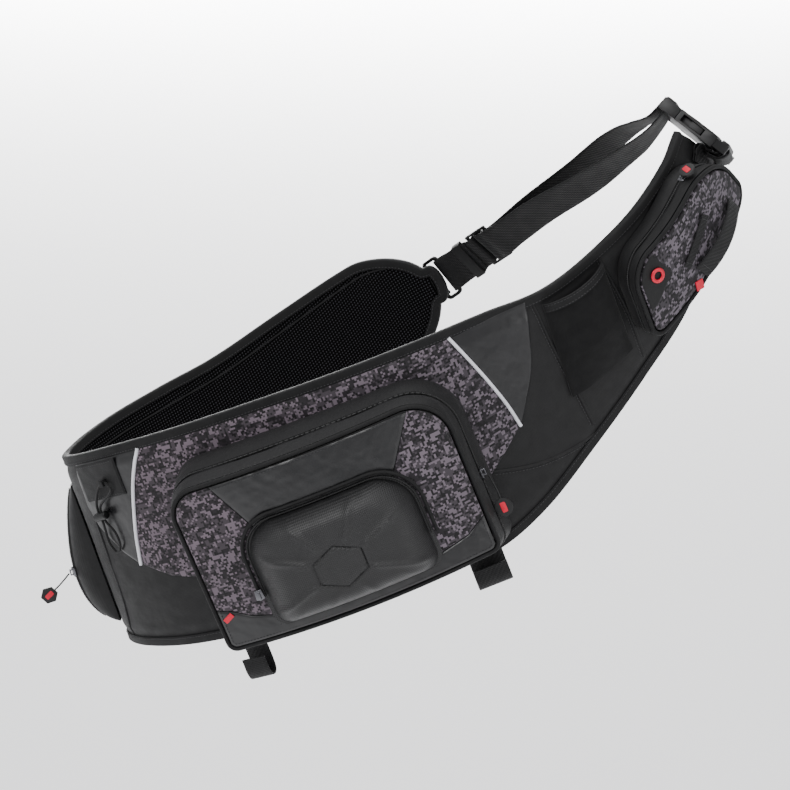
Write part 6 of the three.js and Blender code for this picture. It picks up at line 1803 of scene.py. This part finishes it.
        turn = np.radians(np.linspace(180, -20, 9))
        loop = self.in_buckle(bar + hold * np.cos(turn), hold * np.sin(turn)) * [1, 1, 1, -1, -1, -1]
        return np.concatenate([
            on_band([20, 12, 4], [base] * 3), at(bar - 19.2, -8.2, end_way), at(bar - 11.8, -7.9, -ay),
            at(bar - 5, -5.6, -ay), loop, at(bar + hold - 2.1, -6.4, -ay), at(bar - 6.8, -10.6, -ay),
            at(bar - 15.8, -11.4, end_way), on_band([8, 14, 20], [base + 2.6, base + 2.4, base + 2.4]),
        ])

    def ridge(self, name: str, middle: float, long: float, wide: float, low: float, high: float,
              power: float = 0.45) -> None:
        """A raised field with round edges on the buckle's outer side, a superellipse seen from above.

        Args:
            name: name of the piece.
            middle: middle along the buckle, mm.
            long: length, mm.
            wide: width, mm.
            low: height of the ground, mm.
            high: height of the top, mm.
            power: 1 for an ellipse, towards 0 for a rectangle.
        """
        back, ax, ay, az = self.buckle_frame()
        around = np.linspace(0, TAU, 49)
        bend = np.linspace(0, np.pi / 2, 9)
        rings = np.concatenate([[[0.0, low - 0.4], [1.0, low - 0.4]],
                                np.stack([0.78 + 0.22 * np.cos(bend), low + (high - low) * np.sin(bend)], -1),
                                [[0.0, high]]])
        x = middle + long / 2 * np.sign(np.cos(around)) * np.abs(np.cos(around)) ** power
        y = wide / 2 * np.sign(np.sin(around)) * np.abs(np.sin(around)) ** power
        grid = back + ax * (middle + (x - middle)[None] * rings[:, :1])[..., None] \
            + ay * (y[None] * rings[:, :1])[..., None] + az * rings[:, 1][:, None, None]
        piece = make(name, grid.reshape(-1, 3), quads(len(rings), 49), np.zeros((len(rings) * 49, 2)), 40.0)
        dress(piece, ACETAL)

    def build(self) -> None:
        """Makes the webbing, the hardware and the tabs."""
        line = self.line()
        dress(ribbon("strap_webbing_two_layers", line[:, :3], line[:, 3:], self.width, self.gauge, 620),
              WEBBING_CLOTH, "strap_webbing")
        tab = self.ring_tab()
        dress(ribbon("ring_webbing_tab", tab[:, :3], tab[:, 3:], self.width - 2, self.gauge, 120),
              WEBBING_CLOTH, "ring_tab")
        tab = self.shoulder_tab()
        dress(ribbon("shoulder_webbing_tab", tab[:, :3], tab[:, 3:], self.width - 5, self.gauge, 120),
              WEBBING_CLOTH, "shoulder_tab")
        eased_copy("buckle_plug_body", "buckle_plug", 1.1, ACETAL)
        eased_copy("buckle_socket_body", "buckle_socket", 1.1, ACETAL)
        top = self.buckle_thick / 2
        self.ridge("buckle_plug_bolster", 5.5, 14.0, 43.0, top - 2.5, top + 2.6, 0.35)
        self.ridge("buckle_socket_rib", 44.0, 46.0, 15.0, top, top + 2.4, 0.6)
        self.ridge("buckle_socket_bolster", 74.0, 10.0, 41.0, top - 2.6, top + 1.6, 0.35)
        eased_copy("strap_slider_plate", "strap_slider", 0.7, ACETAL)
        eased_copy("strap_keeper_loop", "strap_keeper", 0.4, WEBBING_CLOTH)
        eased_copy("wing_ring_loop", "wing_ring", 0.9, ACETAL)


@dataclass
class GearLoop:
    """A webbing loop sewn behind the band's lower edge. It hangs down and turns up in front."""

    word: str
    reach: float
    width: float
    drop: float
    tail: float
    gauge: float = WEBBING_GAUGE

    def build(self) -> None:
        """Makes the loop's webbing."""
        at = BAND.at(np.array([self.reach]))
        middle, way, outward = (a[0] for a in BAND.station(at))
        low = -float(BAND.half(at)[0])
        inside = BAND.panel / 2 + 1.2 + self.gauge / 2
        curl = inside + 1.5
        turn = np.radians(np.linspace(195, 345, 7))
        across = np.concatenate([[low + 26, low + 8, low - 2, low - self.drop + curl],
                                 low - self.drop + curl + curl * np.sin(turn),
                                 [low - self.drop + curl + self.tail]])
        out = np.concatenate([[-inside, -inside, -inside - 0.6, -curl], curl * np.cos(turn), [curl + 1]])
        points = middle + way * across[:, None] + outward * out[:, None]
        side = np.broadcast_to(np.cross(way, outward), points.shape)
        piece = ribbon(f"gear_webbing_{self.word}", points, side, self.width, self.gauge, 110)
        dress(piece, WEBBING_CLOTH, f"gear_loop_{self.word}")


@dataclass
class ZipPulls:
    """Sliders and pullers, and the bare red inlays on the pullers."""

    def plate(self, source: str) -> tuple[Array, Array, Array]:
        """The largest flat face of a puller that looks at the viewer.

        Triangles with one normal and one depth are grouped, and the group with the largest area counts.

        Args:
            source: the puller's CAD node.

        Returns:
            The face's middle, its outward normal and the way from the slider to it, in the bag's frame.
        """
        mesh = bpy.data.objects[source].data
        count = len(mesh.polygons)
        normal, centre, area = np.empty(count * 3), np.empty(count * 3), np.empty(count)
        mesh.polygons.foreach_get("normal", normal)
        mesh.polygons.foreach_get("center", centre)
        mesh.polygons.foreach_get("area", area)
        turn = np.array(bpy.data.objects[source].matrix_world)
        normal = unit(normal.reshape(-1, 3) @ turn[:3, :3].T)
        centre = centre.reshape(-1, 3) @ turn[:3, :3].T + turn[:3, 3]
        depth = np.sum(normal * centre, -1, keepdims=True)
        key = np.concatenate([np.round(normal, 2), np.round(depth, 4)], 1)
        _, group = np.unique(key, axis=0, return_inverse=True)
        total = np.bincount(group.ravel(), weights=area * np.maximum(-normal[:, 1], 0))
        chosen = group.ravel() == int(np.argmax(total))
        middle = np.average(centre[chosen], axis=0, weights=area[chosen])
        return middle, normal[chosen][0], unit(middle - np.average(centre, axis=0))

    def inlay(self, source: str, long: float, wide: float, power: float) -> None:
        """A thin bare plate on a puller's front.

        Args:
            source: the puller's CAD node.
            long: length, mm.
            wide: width, mm.
            power: 1 for an ellipse, towards 0 for a rectangle.
        """
        middle, z, towards = self.plate(source)
        x = unit(towards - z * towards.dot(z))
        y = np.cross(z, x)
        around = np.linspace(0, TAU, 41)
        rings = np.array([[0.0, -0.3], [1.0, -0.3], [1.0, 0.35], [0.93, 0.5], [0.0, 0.5]])
        a = long / 2 * np.sign(np.cos(around)) * np.abs(np.cos(around)) ** power
        b = wide / 2 * np.sign(np.sin(around)) * np.abs(np.sin(around)) ** power
        share, high = rings[:, :1], rings[:, 1][:, None, None]
        flat = x * (a[None] * share)[..., None] + y * (b[None] * share)[..., None]
        grid = middle + MM * (flat + z * high)
        piece = make(f"{source}_inlay", BAND.from_frame(grid.reshape(-1, 3)), quads(len(rings), 41),
                     np.zeros((len(rings) * 41, 2)), 40.0)
        dress(piece, RED_INLAY)

    def build(self) -> None:
        """Makes all sliders, pullers, inlays and tags."""
        for source in ("main_zip_slider", "hip_zip_slider", "shoulder_zip_slider", "moulded_zip_slider"):
            eased_copy(f"{source}_body", source, 0.35, DARK_STEEL)
        for source in ("main_zip_puller", "hip_zip_puller", "shoulder_zip_puller"):
            eased_copy(f"{source}_tab", source, 0.5, BLACK_RUBBER, 1.0)
        self.inlay("hip_zip_puller", 9.0, 5.0, 0.3)
        self.inlay("main_zip_puller", 10.0, 5.5, 0.3)
        self.inlay("shoulder_zip_puller", 9.0, 5.5, 0.3)
        for source in ("label_tag_shoulder", "label_tag_face"):
            eased_copy(f"{source}_plate", source, 0.4, RED_RUBBER)


@dataclass
class Studio:
    """A pale floor, soft lights and the camera at the photograph's angle."""

    elevation: float = 15.0
    distance: float = 2.8
    lens: float = 127.6
    aim: tuple = (336.0, 0.0, 35.0)
    floor_depth: float = 1.35

    def build(self) -> None:
        """Makes the camera first, then the floor and the lights."""
        target = BAND.to_frame(np.array(self.aim))
        tip = np.radians(self.elevation)
        data = bpy.data.cameras.new("Camera")
        data.lens, data.sensor_width = self.lens, 36.0
        data.clip_end = 60.0
        camera = bpy.data.objects.new("Camera", data)
        camera.location = target + self.distance * np.array([0.0, -np.cos(tip), np.sin(tip)])
        camera.rotation_euler = (np.pi / 2 - tip, 0.0, 0.0)
        bpy.context.scene.collection.objects.link(camera)
        bpy.context.scene.camera = camera
        self.floor()
        self.light("KeyLight", (-1.2, -2.0, 2.4), target, 1.5, 62.0)
        self.light("FillLight", (2.4, -2.0, 0.9), target, 2.0, 26.0)
        self.light("TopLight", (0.0, 0.2, 2.6), target, 2.6, 34.0)
        self.light("RimLight", (0.6, 2.6, 1.4), target, 2.0, 5.0)
        self.light("FloorLight", (0.0, 6.0, 3.0), target + np.array([0.0, 6.0, -1.3]), 8.0, 3600.0)
        world = bpy.data.worlds.new("PaleRoom")
        world.use_nodes = True
        world.node_tree.nodes["Background"].inputs[0].default_value = linear("#f4f4f6")
        world.node_tree.nodes["Background"].inputs[1].default_value = 0.75
        bpy.context.scene.world = world

    def floor(self) -> None:
        """One wide flat sheet far below the bag, which hangs at shoulder height."""
        size = 30.0
        mesh = bpy.data.meshes.new("PaleFloor")
        corners = np.array([[-1, -1], [1, -1], [1, 1], [-1, 1]]) * size
        mesh.from_pydata([(x, y, -self.floor_depth) for x, y in corners.tolist()], [], [(0, 1, 2, 3)])
        piece = bpy.data.objects.new("PaleFloor", mesh)
        bpy.context.scene.collection.objects.link(piece)
        paint = bpy.data.materials.new("pale_floor_paint")
        paint.use_nodes = True
        shader = paint.node_tree.nodes["Principled BSDF"]
        shader.inputs["Base Color"].default_value = linear("#f6f6f7")
        shader.inputs["Roughness"].default_value = 0.9
        mesh.materials.append(paint)

    def light(self, name: str, place: tuple, target: Array, size: float, power: float) -> None:
        """A square soft light that faces the bag."""
        data = bpy.data.lights.new(name, "AREA")
        data.energy, data.size = power, size
        lamp = bpy.data.objects.new(name, data)
        lamp.location = target + np.array(place)
        away = unit(np.array(place, float))
        lamp.rotation_euler = (np.arccos(away[2]), 0.0, np.arctan2(away[0], -away[1]))
        bpy.context.scene.collection.objects.link(lamp)


def main() -> None:
    """Builds the camera and the stage, then each sub-assembly in order."""
    logging.basicConfig(level=logging.INFO, format="%(name)s %(message)s")
    builders = (
        Studio(), CordLock(), PaddedBand(), HipWing(), MainPocket(), StretchPouch(), ShoulderPocket(),
        HipPocket(), ShoulderStrap(), GearLoop("left", reach=162.0, width=25.0, drop=48.0, tail=16.0),
        GearLoop("right", reach=412.0, width=35.0, drop=30.0, tail=14.0), ZipPulls(),
    )
    for builder in builders:
        LOG.info("building %s", type(builder).__name__)
        builder.build()


if __name__ == "__main__":
    main()
